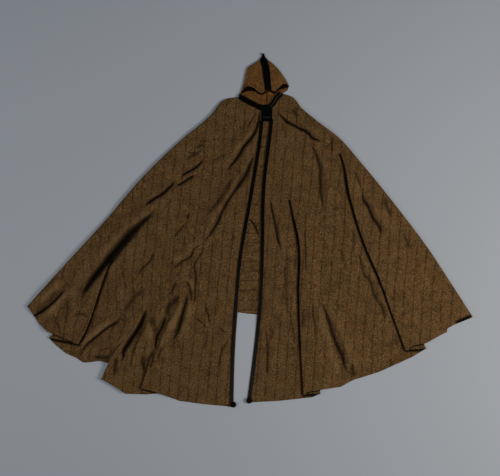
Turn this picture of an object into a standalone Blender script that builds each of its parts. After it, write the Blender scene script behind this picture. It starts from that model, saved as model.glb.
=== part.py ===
"""A hooded wool cloak laid flat and face up, its hood spread above the neck.

The body is one half-round cloth. Its middle lies on the ground as the back, its two sides
fold over as the fronts, and the pleats are S-folds in those fronts. X runs across the cloak,
Y from the hem to the hood and Z up from the ground. Sizes are in millimetres, and the
meshes are written in metres.
"""
import math
from collections import namedtuple

import bmesh
import bpy
import numpy as np

# Driving sizes
WALL = 2.0
HALF_WALL = WALL / 2
SEAM_GAP = 0.3
MM = 0.001
ROWS = 25
# The middle of the outline, which becomes the origin
CENTRE = (0.0, 0.8)

# How the layers lie
FRONT_LEVEL = 3.6
GROUND_LEVEL = HALF_WALL
HEM_DROP_START = 5.0
HEM_DROP_LENGTH = 75.0
SIDE_RADIUS = 5.0
SIDE_RADIUS_AT_NECK = 2.2
SIDE_SETTLE = 95.0
PLEAT_SETTLE = 90.0
EDGE_CELL = 20.0

# Trimmings
BRAID_WIDTH = 17.0
BRAID_THICK = 3.6
BRAID_INSET = 1.5
LEFT_NECK_BRAID_WIDTH = 27.0
RIGHT_NECK_BRAID_WIDTH = 23.0
NECK_BRAID_THICK = 5.0
TAPE_WIDTH = 34.0
TAPE_THICK = 1.6
STRIP_STATIONS = 9
STRIP_VALLEY = 0.45
CORD_POINTS = 4
CLASP_WIDTH = 52.0
CLASP_THICK = 6.0
CLASP_TOP = 603.0
CLASP_FOOT = 523.0
CLASP_LEFT = 54.0
CLASP_LEVEL = 4.9
HEM_KNOT_RADIUS = 15.0
HEM_KNOT_HEIGHT = 17.0
TIP_KNOT_RADIUS = 7.0
KNOT_RINGS = 7
KNOT_SEGMENTS = 12
KNOT_FOOT_SHARE = 0.16
KNOT_TOP_SHARE = 0.96

# Hood sizes
HOOD_ROWS = 12
HOOD_RADIUS = 4.0
HOOD_RADIUS_AT_END = 2.0
HOOD_CROWN = 15.0

# Lengthwise lines of the body, each from the neck to the hem, as (x, y)
LINES = {
    "left edge": ((66, 591), (66, 526), (57, 435), (27, 243), (-6, 51), (-37, -127),
                  (-56, -333), (-75, -631), (-80, -846)),
    "left pleat 1": ((14, 598), (16, 459), (-6, 339), (-50, 238), (-115, 128), (-182, -2),
                     (-312, -242), (-408, -463), (-475, -616), (-522, -756)),
    "left pleat 2": ((-22, 616), (-58, 483), (-120, 339), (-288, 51), (-446, -237),
                     (-566, -453), (-672, -621), (-713, -713)),
    "left pleat 3": ((-47, 632), (-90, 540), (-168, 420), (-346, 214), (-528, 32),
                     (-662, -132), (-720, -285), (-787, -472), (-826, -543)),
    "left side": ((-65, 640), (-125, 627), (-187, 555), (-336, 430), (-528, 243),
                  (-692, 51), (-912, -189), (-1068, -362)),
    "right side": ((161, 656), (206, 640), (244, 592), (312, 534), (432, 441), (522, 339),
                   (720, 94), (854, -84), (960, -245), (1068, -413)),
    "right pleat 2": ((146, 641), (190, 600), (288, 531), (394, 435), (437, 363), (480, 161),
                      (557, -84), (624, -237), (696, -439), (745, -573)),
    "right pleat 1": ((123, 618), (137, 483), (163, 339), (206, 89), (235, -45),
                      (236, -333), (245, -573), (256, -786)),
    "right edge": ((97, 593), (95, 526), (77, 387), (59, 243), (52, 123), (50, -45),
                   (45, -237), (35, -405), (12, -621), (-15, -825)),
    "centre back": ((82, 581), (38, 243), (0, -93), (-10, -399)),
}

# Stretches of the hem between those lines, from the left edge round to the right edge
HEMS = {
    "left centre": ((-80, -846), (-216, -832), (-336, -817), (-408, -789), (-470, -768),
                    (-522, -756)),
    "left middle": ((-436, -781), (-504, -786), (-595, -781), (-648, -747), (-713, -713)),
    "left outer": ((-619, -650), (-720, -624), (-768, -631), (-799, -633), (-835, -609),
                   (-883, -588), (-941, -540), (-965, -515)),
    "left wing": ((-826, -543), (-912, -506), (-970, -484), (-1013, -444), (-1068, -362)),
    "left back": ((-1068, -362), (-768, -362), (-384, -376), (-53, -392), (-10, -399)),
    "right back": ((-10, -399), (36, -406), (384, -408), (720, -410), (1068, -413)),
    "right wing": ((1068, -413), (970, -456), (946, -470), (946, -486), (893, -512),
                   (840, -540), (782, -549), (745, -573)),
    "right outer": ((845, -567), (778, -606), (624, -676), (494, -717), (432, -750),
                    (336, -762), (274, -772), (256, -786)),
    "right centre": ((337, -783), (298, -799), (144, -816), (-15, -825)),
}

# S-folds: the line of the edge that shows, the way from it to the hidden fold at the hem,
# the fractions of the length where the fold starts and where it lies fully over, the
# radius of its bends, and whether the raised side comes first on the way round
Pleat = namedtuple("Pleat", "line overlap start full radius raised_first")
PLEATS = (
    Pleat("left pleat 1", (86, -25), 0.84, 0.94, 3.2, True),
    Pleat("left pleat 2", (94, 63), 0.83, 0.96, 3.2, True),
    Pleat("left pleat 3", (-139, 28), 0.66, 0.84, 3.4, False),
    Pleat("right pleat 2", (100, 6), 0.25, 0.50, 3.4, True),
    Pleat("right pleat 1", (81, 3), 0.30, 0.52, 3.4, True),
)
PLEAT_LEAST_TURN = 1.2
PLEAT_LEAST_MIDDLE = 9.0
PLEAT_ARC_CELLS = 3
PLEAT_CALM = 0.9
PLEAT_CALM_REACH = 75.0
SIDE_BEND_CELLS = 4
SIDE_SIGN = {"left side": 1, "right side": -1}

# Soft folds: the line of the crest, its height, and its half widths to the left and to the
# right of that line's direction
Fold = namedtuple("Fold", "crest height left right")
FOLDS = (
    Fold(((-418, 147), (-552, 36), (-686, -93), (-792, -213), (-840, -319)), 24, 34, 44),
    Fold(((-888, -223), (-1032, -348)), 12, 26, 26),
    Fold(((-854, -276), (-998, -434)), 12, 28, 28),
    Fold(((-648, -410), (-778, -511), (-821, -568)), 14, 34, 26),
    Fold(((-514, -372), (-629, -549), (-686, -679)), 18, 30, 40),
    Fold(((-461, -400), (-562, -679)), 12, 30, 30),
    Fold(((-384, -295), (-480, -496), (-490, -573)), 15, 28, 36),
    Fold(((-331, -324), (-389, -506)), 11, 28, 30),
    Fold(((-278, -314), (-331, -516)), 9, 28, 30),
    Fold(((14, 550), (-58, 411), (-163, 272)), 9, 26, 34),
    Fold(((0, 377), (-86, 214), (-211, 12), (-254, -60)), 13, 30, 44),
    Fold(((-384, -151), (-240, -60)), 8, 30, 30),
    Fold(((173, 598), (302, 483), (365, 449)), 9, 24, 28),
    Fold(((317, 406), (365, 310), (384, 204), (374, 118)), 10, 34, 30),
    Fold(((557, 204), (648, 41), (682, -26)), 10, 34, 34),
    Fold(((312, -357), (394, -621), (437, -741)), 9, 40, 40),
    Fold(((403, -372), (485, -602), (538, -688)), 8, 36, 36),
)
FOLD_END_TAPER = 0.3
FOLD_EDGE_FADE = 70.0

# Lines of the hood, each from the tip to the mouth
HOOD_CROWN_SEAM = ((64, 836.5), (67, 815), (77, 771), (82, 723), (86, 677))
HOOD_BACK_SEAM = ((64, 836.5), (72, 771), (80, 700), (82, 581.8))
HOOD_SIDE = {
    "left": ((58, 837), (43, 819), (19, 802), (-12, 780), (-22, 747), (-29, 713),
             (-42, 672), (-57, 646)),
    "right": ((70, 837), (86, 819), (106, 804), (139, 771), (163, 737), (178, 713),
              (188, 692)),
}
HOOD_LIP = {
    "left": ((86, 677), (77, 669), (62, 660), (48, 660), (19, 680), (0, 684), (-20, 678),
             (-38, 665), (-57, 646)),
    "right": ((86, 677), (98, 675), (117, 664), (142, 689), (158, 704), (175, 705),
              (188, 692)),
}
HOOD_NECK = {
    "left": ((-57, 646), (-56, 634.7), (82, 581.8)),
    "right": ((188, 692), (178, 672), (162, 664), (82, 581.8)),
}

# Centre lines of the neck braids, as (x, y, height of the underside)
NECK_BRAID_LEFT = ((45, 592, 5.0), (-10, 620, 5.4), (-51, 643, 8.6))
NECK_BRAID_RIGHT = ((108, 606, 5.0), (124, 631, 5.0), (150, 659, 6.9))
HEM_KNOTS = {"left": (-80, -834), "right": (-4, -815)}
TIP_KNOT = (63, 843.4)

Colour = namedtuple("Colour", "name rgb roughness")
WOOL = Colour("brown_wool", (0.055, 0.031, 0.012), 0.95)
BRAID = Colour("black_braid", (0.006, 0.005, 0.004), 0.7)
TAPE = Colour("dark_tape", (0.005, 0.007, 0.006), 0.6)


def clear_scene():
    for thing in list(bpy.data.objects):
        bpy.data.objects.remove(thing, do_unlink=True)


def eased(share):
    """An even ramp from 0 to 1 with flat ends."""
    share = np.clip(share, 0.0, 1.0)
    return share * share * (3 - 2 * share)


def curve_through(knots, steps=8):
    """A smooth curve through unevenly spaced points."""
    knots = np.array(knots, dtype=float)
    if len(knots) < 3:
        return knots
    chords = np.linalg.norm(np.diff(knots, axis=0), axis=1)
    slopes = np.diff(knots, axis=0) / chords[:, None]
    before = chords[:-1, None]
    after = chords[1:, None]
    inner = (slopes[:-1] * after + slopes[1:] * before) / (before + after)
    tangents = np.vstack((slopes[:1], inner, slopes[-1:]))
    points = []
    for i, chord in enumerate(chords):
        for t in np.arange(steps) / steps:
            here = (2 * t ** 3 - 3 * t ** 2 + 1) * knots[i]
            there = (3 * t ** 2 - 2 * t ** 3) * knots[i + 1]
            leave = (t ** 3 - 2 * t ** 2 + t) * chord * tangents[i]
            arrive = (t ** 3 - t ** 2) * chord * tangents[i + 1]
            points.append(here + there + leave + arrive)
    points.append(knots[-1])
    return np.array(points)


def along(points, shares):
    """Points at the given shares of the length of a polyline."""
    points = np.array(points, dtype=float)
    steps = np.linalg.norm(np.diff(points, axis=0), axis=1)
    length = np.concatenate(([0.0], np.cumsum(steps)))
    wanted = np.asarray(shares) * length[-1]
    columns = [np.interp(wanted, length, points[:, k]) for k in range(points.shape[1])]
    return np.stack(columns, axis=-1)


def fold_height(x, y, fold):
    """Height that one soft fold adds at each point."""
    nearest = np.full(x.shape, np.inf)
    signed = np.zeros(x.shape)
    share = np.zeros(x.shape)
    crest = curve_through(fold.crest, 4)
    steps = np.linalg.norm(np.diff(crest, axis=0), axis=1)
    total = steps.sum()
    passed = 0.0
    for start, end, step in zip(crest[:-1], crest[1:], steps):
        way = (end - start) / step
        reach = (x - start[0]) * way[0] + (y - start[1]) * way[1]
        held = np.clip(reach, 0, step)
        off_x = x - start[0] - held * way[0]
        off_y = y - start[1] - held * way[1]
        distance = np.hypot(off_x, off_y)
        closer = distance < nearest
        nearest = np.where(closer, distance, nearest)
        signed = np.where(closer, way[0] * off_y - way[1] * off_x, signed)
        share = np.where(closer, (passed + held) / total, share)
        passed += step
    width = np.where(signed > 0, fold.left, fold.right)
    taper = eased(share / FOLD_END_TAPER) * eased((1 - share) / FOLD_END_TAPER)
    ends = 0.25 + 0.75 * taper
    return fold.height * ends * np.exp(-(nearest / width) ** 2)


def front_level(x, y):
    """Level of a front where it lies on the back, or past the back's hem on the ground."""
    hem = np.array(HEMS["left back"] + HEMS["right back"][1:], dtype=float)
    past_hem = np.interp(x, hem[:, 0], hem[:, 1]) - y
    on_back = 1 - eased((past_hem - HEM_DROP_START) / HEM_DROP_LENGTH)
    return GROUND_LEVEL + (FRONT_LEVEL - GROUND_LEVEL) * on_back


def cell_shares(cells, lengths, first=None, last=None):
    """Shares across a panel for each row, with a first or last cell of one width."""
    shares = np.tile(np.linspace(0, 1, cells + 1), (len(lengths), 1))
    if first is not None:
        lead = np.minimum(first / lengths, 0.6)[:, None]
        shares = np.hstack((np.zeros_like(lead), lead + (1 - lead) * shares[:, :-1]))
        shares[:, -1] = 1.0
    if last is not None:
        tail = np.minimum(last / lengths, 0.6)[:, None]
        shares = np.hstack((shares[:, 1:] * (1 - tail), np.ones_like(tail)))
        shares[:, 0] = 0.0
    return shares


def spread(starts, ends, hem, shares, levels):
    """Plan of a panel between two lines, bent to its hem in the last row."""
    plan = starts[:, None] + (ends - starts)[:, None] * shares[:, :, None]
    hem = np.vstack((starts[-1], hem[1:-1], ends[-1]))
    for row, level in enumerate(levels):
        bent = along(hem, shares[row])
        straight = bent[0] + (bent[-1] - bent[0]) * shares[row][:, None]
        plan[row] += level ** 2 * (bent - straight)
    return plan


def s_fold(pleat, level):
    """Offsets along the fold's direction, and rises, from its low side to its raised side."""
    upright = (pleat.start + pleat.full) / 2
    growth = max(0.0, (level - upright) / (1 - upright))
    turn = math.pi * float(eased((level - pleat.start) / (pleat.full - pleat.start)))
    turn = max(turn, 0.001)
    crowding = 0.35 + 0.65 * min(1.0, level / 0.3)
    radius = pleat.radius * max(1.0, crowding * PLEAT_LEAST_TURN / turn)
    reach = math.hypot(*pleat.overlap) * growth - 2 * pleat.radius
    middle = max(reach, PLEAT_LEAST_MIDDLE * crowding)
    high_end = radius * math.sin(min(turn, math.pi / 2))
    low_start = high_end - 2 * radius * math.sin(turn) - middle * math.cos(turn)
    rise = 2 * radius * (1 - math.cos(turn)) + middle * math.sin(turn)
    angles = np.linspace(0, turn, PLEAT_ARC_CELLS + 1)
    low_bend = np.column_stack((low_start + radius * np.sin(angles),
                                radius * (1 - np.cos(angles))))
    high_bend = np.column_stack((high_end - radius * np.sin(angles[::-1]),
                                 rise - radius * (1 - np.cos(angles[::-1]))))
    return np.vstack((low_bend, high_bend)), middle


def pleat_columns(pleat, levels):
    """Plan and rise of one S-fold on every row, and how far it lies over."""
    line = along(curve_through(LINES[pleat.line]), levels)
    way = np.array(pleat.overlap, dtype=float)
    way /= np.linalg.norm(way)
    plans = []
    rises = []
    reaches = []
    for point, level in zip(line, levels):
        offsets, middle = s_fold(pleat, level)
        if pleat.raised_first:
            offsets = offsets[::-1]
        plans.append(point + offsets[:, :1] * way)
        rises.append(offsets[:, 1])
        reaches.append(middle + 2 * pleat.radius)
    return np.array(plans), np.array(rises), np.array(reaches)


def settle(plan, end):
    """Lift that what raises one end of a panel gives it, from the panel's first column."""
    steps = np.linalg.norm(np.diff(plan, axis=1), axis=2)
    distance = np.hstack((np.zeros((len(plan), 1)), np.cumsum(steps, axis=1)))
    hold = end.hold[:, None]
    ease_length = np.minimum(end.settles, np.maximum(distance[:, -1:] - hold, 1.0))
    return end.lift[:, None] * (1 - eased((distance - hold) / ease_length))


def outward(line, side):
    """Unit vectors square to a side line, pointing away from the cloak."""
    tangent = np.gradient(line, axis=0)
    tangent /= np.linalg.norm(tangent, axis=1)[:, None]
    return np.column_stack((tangent[:, 1], -tangent[:, 0])) * side


def row_levels(rows):
    """Shares of the length at each row, closer together towards the hem."""
    even = np.linspace(0, 1, rows)
    return even * (1.25 - 0.25 * even)


# One end of a front panel: its points, what it is lifted by, how far that lift holds and
# over what length it settles
End = namedtuple("End", "points lift hold settles")


class Body:
    """The middle surface of the body, gathered column by column from the left edge."""

    def __init__(self, levels):
        self.levels = levels
        self.flat = np.zeros(len(levels))
        self.plans = []
        self.heights = []
        self.lines = {name: along(curve_through(points), levels)
                      for name, points in LINES.items()}
        self.pleats = {pleat.line: pleat_columns(pleat, levels) for pleat in PLEATS}
        growth = eased(levels / 0.15)
        self.radius = SIDE_RADIUS_AT_NECK + (SIDE_RADIUS - SIDE_RADIUS_AT_NECK) * growth

    def add_front(self, plan, lift):
        """Front cloth over its plan, with the soft folds on it."""
        x = plan[:, :, 0]
        y = plan[:, :, 1]
        inset = np.minimum(distance_across(x, y, self.lines["left edge"]),
                           distance_across(x, y, self.lines["right edge"]))
        calm = eased(inset / FOLD_EDGE_FADE) * eased(self.levels * 6)[:, None]
        calm = calm * self.pleat_calm(x, y)
        height = front_level(x, y) + lift
        for fold in FOLDS:
            height = height + calm * fold_height(x, y, fold)
        self.plans.append(plan)
        self.heights.append(height)

    def pleat_calm(self, x, y):
        """How far the soft folds die away where a pleat lies over."""
        calm = np.ones(x.shape)
        for pleat in PLEATS:
            line = self.lines[pleat.line]
            middle = line + np.array(pleat.overlap) / 2 * self.levels[:, None]
            reach = distance_across(x, y, middle)
            begun = eased((self.levels - pleat.start) / 0.08)[:, None]
            calm = calm * (1 - PLEAT_CALM * begun * np.exp(-(reach / PLEAT_CALM_REACH) ** 2))
        return calm

    def add_panel(self, start, end, hem, cells, first=None, last=None):
        """A panel of a front, settling from what lifts it at each end."""
        lengths = np.linalg.norm(end.points - start.points, axis=1)
        shares = cell_shares(cells, lengths, first, last)
        plan = spread(start.points, end.points, HEMS[hem], shares, self.levels)
        lift = settle(plan, start)
        lift += settle(plan[:, ::-1], end)[:, ::-1]
        self.add_front(plan, lift)

    def add_pleat(self, name):
        """The bends and the hidden middle of an S-fold."""
        plan, rise, _ = self.pleats[name]
        self.add_front(plan[:, 1:-1], rise[:, 1:-1])

    def edge(self, name):
        return End(self.lines[name], self.flat, self.flat, 1.0)

    def raised(self, name, column):
        plan, rise, reach = self.pleats[name]
        return End(plan[:, column], rise[:, column], reach + WALL, PLEAT_SETTLE)

    def lower(self, name, column):
        return End(self.pleats[name][0][:, column], self.flat, self.flat, 1.0)

    def side(self, name):
        """Centre of the bend at a side, where front and back leave it."""
        away = outward(self.lines[name], SIDE_SIGN[name])
        points = self.lines[name] - away * (self.radius + HALF_WALL)[:, None]
        lift = GROUND_LEVEL + 2 * self.radius - FRONT_LEVEL
        return End(points, lift, self.flat + WALL, SIDE_SETTLE), away

    def add_bend(self, name, top, angles):
        """The bend between a front and the back, as part of an upright half ellipse."""
        end, away = self.side(name)
        plan = end.points[:, None] + (away * self.radius[:, None])[:, None] \
            * np.sin(angles)[None, :, None]
        half = (top - GROUND_LEVEL)[:, None] / 2
        self.plans.append(plan)
        self.heights.append(GROUND_LEVEL + half * (1 + np.cos(angles))[None, :])

    def add_back(self, cells):
        """The back, flat on the ground between the two bends."""
        stations = (self.side("left side")[0].points, self.lines["centre back"],
                    self.side("right side")[0].points)
        for hem, start, end in zip(("left back", "right back"), stations, stations[1:]):
            shares = cell_shares(cells, self.flat + 1)
            plan = spread(start, end, HEMS[hem], shares, self.levels)
            if hem == "right back":
                plan = plan[:, 1:]
            self.plans.append(plan)
            self.heights.append(np.full(plan.shape[:2], GROUND_LEVEL))

    def grid(self):
        plan = np.concatenate(self.plans, axis=1)
        return np.dstack((plan, np.concatenate(self.heights, axis=1)))


def body_grid():
    """Middle surface of the body, as rows of points from the left edge to the right."""
    body = Body(row_levels(ROWS))
    turn = np.linspace(0, math.pi, SIDE_BEND_CELLS + 1)[1:-1]
    body.add_panel(body.edge("left edge"), body.raised("left pleat 1", 0), "left centre",
                   8, first=EDGE_CELL)
    body.add_pleat("left pleat 1")
    body.add_panel(body.lower("left pleat 1", -1), body.raised("left pleat 2", 0),
                   "left middle", 6)
    body.add_pleat("left pleat 2")
    body.add_panel(body.lower("left pleat 2", -1), body.lower("left pleat 3", 0),
                   "left outer", 7)
    body.add_pleat("left pleat 3")
    body.add_panel(body.raised("left pleat 3", -1), body.side("left side")[0],
                   "left wing", 6)
    body.add_bend("left side", body.heights[-1][:, -1], turn)
    body.add_back(6)
    right = Body(body.levels)
    right.add_panel(right.side("right side")[0], right.raised("right pleat 2", 0),
                    "right wing", 6)
    body.add_bend("right side", right.heights[0][:, 0], turn[::-1])
    right.add_pleat("right pleat 2")
    right.add_panel(right.lower("right pleat 2", -1), right.raised("right pleat 1", 0),
                    "right outer", 11)
    right.add_pleat("right pleat 1")
    right.add_panel(right.lower("right pleat 1", -1), right.edge("right edge"),
                    "right centre", 6, last=EDGE_CELL)
    return np.concatenate((body.grid(), right.grid()), axis=1)


def distance_across(x, y, edge):
    """Distance across the cloak from a front edge."""
    order = np.argsort(edge[:, 1])
    return np.abs(x - np.interp(y, edge[order, 1], edge[order, 0]))


def grid_normals(grid):
    """Unit normals at the points of a grid, from the faces that meet there."""
    across = grid[:-1, 1:] - grid[:-1, :-1]
    across_low = grid[1:, 1:] - grid[1:, :-1]
    down = grid[1:, :-1] - grid[:-1, :-1]
    down_far = grid[1:, 1:] - grid[:-1, 1:]
    face = np.cross(across + across_low, down + down_far)
    face /= np.linalg.norm(face, axis=2)[:, :, None] + 1e-9
    normals = np.zeros_like(grid)
    for row, column in ((0, 0), (0, 1), (1, 0), (1, 1)):
        rows = slice(row, row + face.shape[0])
        columns = slice(column, column + face.shape[1])
        normals[rows, columns] += face
    return normals / np.linalg.norm(normals, axis=2)[:, :, None]


def cell_triangles(grid, row, column):
    """The two triangles of a cell, split along its shorter diagonal."""
    columns = grid.shape[1]
    near = row * columns + column
    far = near + columns
    falling = np.linalg.norm(grid[row + 1, column + 1] - grid[row, column])
    rising = np.linalg.norm(grid[row + 1, column] - grid[row, column + 1])
    if falling < rising:
        return (near, near + 1, far + 1), (near, far + 1, far)
    return (near, near + 1, far), (near + 1, far + 1, far)


def finish_mesh(name, points, faces, colour):
    """A named object from points in millimetres and their faces."""
    shifted = np.array(points, dtype=float)
    shifted[:, 0] -= CENTRE[0]
    shifted[:, 1] -= CENTRE[1]
    mesh = bpy.data.meshes.new(name)
    mesh.from_pydata((shifted * MM).tolist(), [], faces)
    mesh.update()
    mesh.shade_smooth()
    mesh.set_sharp_from_angle(angle=math.radians(50))
    thing = bpy.data.objects.new(name, mesh)
    bpy.context.scene.collection.objects.link(thing)
    mesh.materials.append(material(colour))
    return thing


def material(colour):
    """One plain finish, made once for each colour."""
    if colour.name in bpy.data.materials:
        return bpy.data.materials[colour.name]
    finish = bpy.data.materials.new(colour.name)
    finish.use_nodes = True
    shader = finish.node_tree.nodes["Principled BSDF"]
    shader.inputs["Base Color"].default_value = (*colour.rgb, 1.0)
    shader.inputs["Roughness"].default_value = colour.roughness
    shader.inputs["Metallic"].default_value = 0.0
    return finish


def cloth(name, grid, colour):
    """A wall of cloth around a grid of points, closed along its four edges."""
    normals = grid_normals(grid) * HALF_WALL
    rows, columns = grid.shape[:2]
    outer = (grid + normals).reshape(-1, 3)
    inner = (grid - normals).reshape(-1, 3)
    points = np.vstack((outer, inner))
    points[:, 2] = np.maximum(points[:, 2], 0.0)
    under = rows * columns
    faces = []
    for row in range(rows - 1):
        for column in range(columns - 1):
            for triangle in cell_triangles(grid, row, column):
                faces.append(triangle)
                faces.append(tuple(under + k for k in triangle[::-1]))
    last_row = (rows - 1) * columns
    rim = list(range(columns))
    rim += [row * columns + columns - 1 for row in range(1, rows)]
    rim += [last_row + column for column in range(columns - 2, -1, -1)]
    rim += [row * columns for row in range(rows - 2, 0, -1)]
    for here, there in zip(rim, rim[1:] + rim[:1]):
        faces.append((there, here, under + here, under + there))
    return finish_mesh(name, points, faces, colour)


def skin(name, rings, colour):
    """A closed body through equal rings, with a flat face at each end."""
    rings = np.array(rings, dtype=float)
    count, size = rings.shape[:2]
    faces = []
    for ring in range(count - 1):
        for k in range(size):
            here = ring * size + k
            beside = ring * size + (k + 1) % size
            faces.append((here, beside, beside + size, here + size))
    faces.append(tuple(range(size))[::-1])
    faces.append(tuple((count - 1) * size + k for k in range(size)))
    thing = finish_mesh(name, rings.reshape(-1, 3), faces, colour)
    shell = bmesh.new()
    shell.from_mesh(thing.data)
    bmesh.ops.recalc_face_normals(shell, faces=shell.faces)
    shell.to_mesh(thing.data)
    shell.free()
    return thing


def domed_ring(left, right, thick, cords=1):
    """A flat base from left to right with low rounded cords over it."""
    ring = [left, right]
    for share in np.linspace(1, 0, CORD_POINTS * cords + 1):
        dome = STRIP_VALLEY + (1 - STRIP_VALLEY) * abs(math.sin(math.pi * cords * share))
        ring.append(left + (right - left) * share + np.array((0, 0, thick * dome)))
    return ring


def level_points(line, y):
    """Point of a lengthwise line at a given height on the cloak."""
    order = np.argsort(line[:, 1])
    return np.array((np.interp(y, line[order, 1], line[order, 0]), y,
                     np.interp(y, line[order, 1], line[order, 2])))


def front_braid(name, edge, inner, knot):
    """The braid sewn along a front edge, moved out from the cell next to that edge."""
    across = inner - edge
    across /= np.linalg.norm(across, axis=1)[:, None]
    raised = edge + np.array((0, 0, HALF_WALL + SEAM_GAP))
    near = raised + across * BRAID_INSET
    far = raised + across * (BRAID_INSET + BRAID_WIDTH)
    if near[0, 0] > far[0, 0]:
        near, far = far, near
    top = CLASP_FOOT - SEAM_GAP
    foot = knot[1] + HEM_KNOT_RADIUS + SEAM_GAP
    stations = [top] + [y for y in edge[:, 1] if foot + 8 < y < top - 8] + [foot]
    rings = [domed_ring(level_points(near, y), level_points(far, y), BRAID_THICK)
             for y in stations]
    return skin(name, rings, BRAID)


def strip(name, centre_line, width, thick, cords):
    """A strip that follows a centre line on its underside, with rounded cords on top."""
    plan = along(curve_through(centre_line), np.linspace(0, 1, STRIP_STATIONS))
    tangent = np.gradient(plan[:, :2], axis=0)
    tangent /= np.linalg.norm(tangent, axis=1)[:, None]
    square = np.column_stack((tangent[:, 1], -tangent[:, 0], np.zeros(STRIP_STATIONS)))
    rings = []
    for point, way in zip(plan, square):
        left = point - way * width / 2
        right = point + way * width / 2
        rings.append(domed_ring(left, right, thick, cords))
    return skin(name, rings, BRAID)


def hood_half(side):
    """One half of the hood, from the crown seam round its fold to the back seam."""
    levels = np.linspace(0, 1, HOOD_ROWS)
    crown = along(curve_through(HOOD_CROWN_SEAM), levels)
    back = along(curve_through(HOOD_BACK_SEAM), levels)
    outline = along(curve_through(HOOD_SIDE[side]), levels)
    sign = -1 if side == "left" else 1
    crown = crown + np.array((sign * SEAM_GAP / 2, 0))
    back = back + np.array((sign * SEAM_GAP / 2, 0))
    radius = HOOD_RADIUS_AT_END + (HOOD_RADIUS - HOOD_RADIUS_AT_END) \
        * eased(levels * 4) * eased((1 - levels) * 4)
    away = outward(outline, -sign)
    centre = outline - away * (radius + HALF_WALL)[:, None]
    width = np.linalg.norm(centre - crown, axis=1)
    upper_shares = cell_shares(6, width, first=TAPE_WIDTH / 2 + 1)
    upper = spread(crown, centre, HOOD_LIP[side], upper_shares, levels)
    lower = spread(centre, back, HOOD_NECK[side], cell_shares(5, width), levels)
    fold_top = GROUND_LEVEL + 2 * radius[:, None]
    rise = HOOD_CROWN * levels[:, None] ** 1.5
    upper_height = fold_top + rise * eased((1 - upper_shares) * 1.4)
    turn = np.linspace(0, math.pi, SIDE_BEND_CELLS + 1)[1:-1]
    bend = centre[:, None] + (away * radius[:, None])[:, None] * np.sin(turn)[None, :, None]
    bend_height = GROUND_LEVEL + radius[:, None] * (1 + np.cos(turn))[None, :]
    plan = np.concatenate((upper, bend, lower), axis=1)
    height = np.concatenate((upper_height, bend_height,
                             np.full(lower.shape[:2], GROUND_LEVEL)), axis=1)
    grid = np.dstack((plan, height))
    cloth("hood_" + side, grid, WOOL)
    return grid


def hood_tape(left, right):
    """The tape over the crown seam, moved out from the two cells beside it."""
    rings = []
    raised = np.array((0, 0, HALF_WALL + SEAM_GAP))
    for row in range(1, HOOD_ROWS):
        reach = (TAPE_WIDTH / 2) / np.linalg.norm(left[row, 1] - left[row, 0])
        reach = min(reach, 0.95)
        far_left = left[row, 0] + (left[row, 1] - left[row, 0]) * reach
        far_right = right[row, 0] + (right[row, 1] - right[row, 0]) * reach
        middle = (left[row, 0] + right[row, 0]) / 2
        base = [point + raised for point in (far_left, middle, far_right)]
        top = [point + raised + np.array((0, 0, TAPE_THICK))
               for point in (far_right, middle, far_left)]
        rings.append(base + top)
    return skin("hood_tape", rings, TAPE)


def knot_ball(name, centre, radius, foot, height):
    """A ball knot, pressed flat underneath."""
    angles = math.pi * np.linspace(KNOT_FOOT_SHARE, KNOT_TOP_SHARE, KNOT_RINGS)
    climb = (math.cos(angles[0]) - np.cos(angles)) / (math.cos(angles[0]) - math.cos(angles[-1]))
    around = 2 * math.pi * np.arange(KNOT_SEGMENTS) / KNOT_SEGMENTS
    rings = []
    for angle, share in zip(angles, climb):
        reach = radius * math.sin(angle)
        rings.append(np.column_stack((centre[0] + reach * np.cos(around),
                                      centre[1] + reach * np.sin(around),
                                      np.full(KNOT_SEGMENTS, foot + height * share))))
    return skin(name, rings, BRAID)


def main():
    clear_scene()
    grid = body_grid()
    cloth("body", grid, WOOL)
    left = hood_half("left")
    right = hood_half("right")
    hood_tape(left, right)
    front_braid("front_braid_left", grid[:, 0], grid[:, 1], HEM_KNOTS["left"])
    front_braid("front_braid_right", grid[:, -1], grid[:, -2], HEM_KNOTS["right"])
    strip("neck_braid_left", NECK_BRAID_LEFT, LEFT_NECK_BRAID_WIDTH, NECK_BRAID_THICK, 2)
    strip("neck_braid_right", NECK_BRAID_RIGHT, RIGHT_NECK_BRAID_WIDTH, NECK_BRAID_THICK, 2)
    clasp_middle = CLASP_LEFT + CLASP_WIDTH / 2
    strip("clasp", ((clasp_middle, CLASP_TOP, CLASP_LEVEL),
                    (clasp_middle, CLASP_FOOT, CLASP_LEVEL)),
          CLASP_WIDTH, CLASP_THICK, 1)
    knot_foot = GROUND_LEVEL + HALF_WALL + SEAM_GAP
    for side, centre in HEM_KNOTS.items():
        knot_ball("hem_knot_" + side, centre, HEM_KNOT_RADIUS, knot_foot, HEM_KNOT_HEIGHT)
    knot_ball("hood_tip_knot", TIP_KNOT, TIP_KNOT_RADIUS, 0.0, 2 * TIP_KNOT_RADIUS)


main()
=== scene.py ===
"""The looks of a hooded wool cloak that lies flat and face up.

The body is one half-round cloth: its middle is the back, its two sides fold over as the
fronts, and the pleats are S-folds in them. X runs across the cloak, Y from the hem to the
hood and Z up. Sizes are in millimetres, and the meshes are written in metres. How far
down a row lies is its share of the way from the neck to the hem.
"""
import math
from collections import namedtuple

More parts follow.
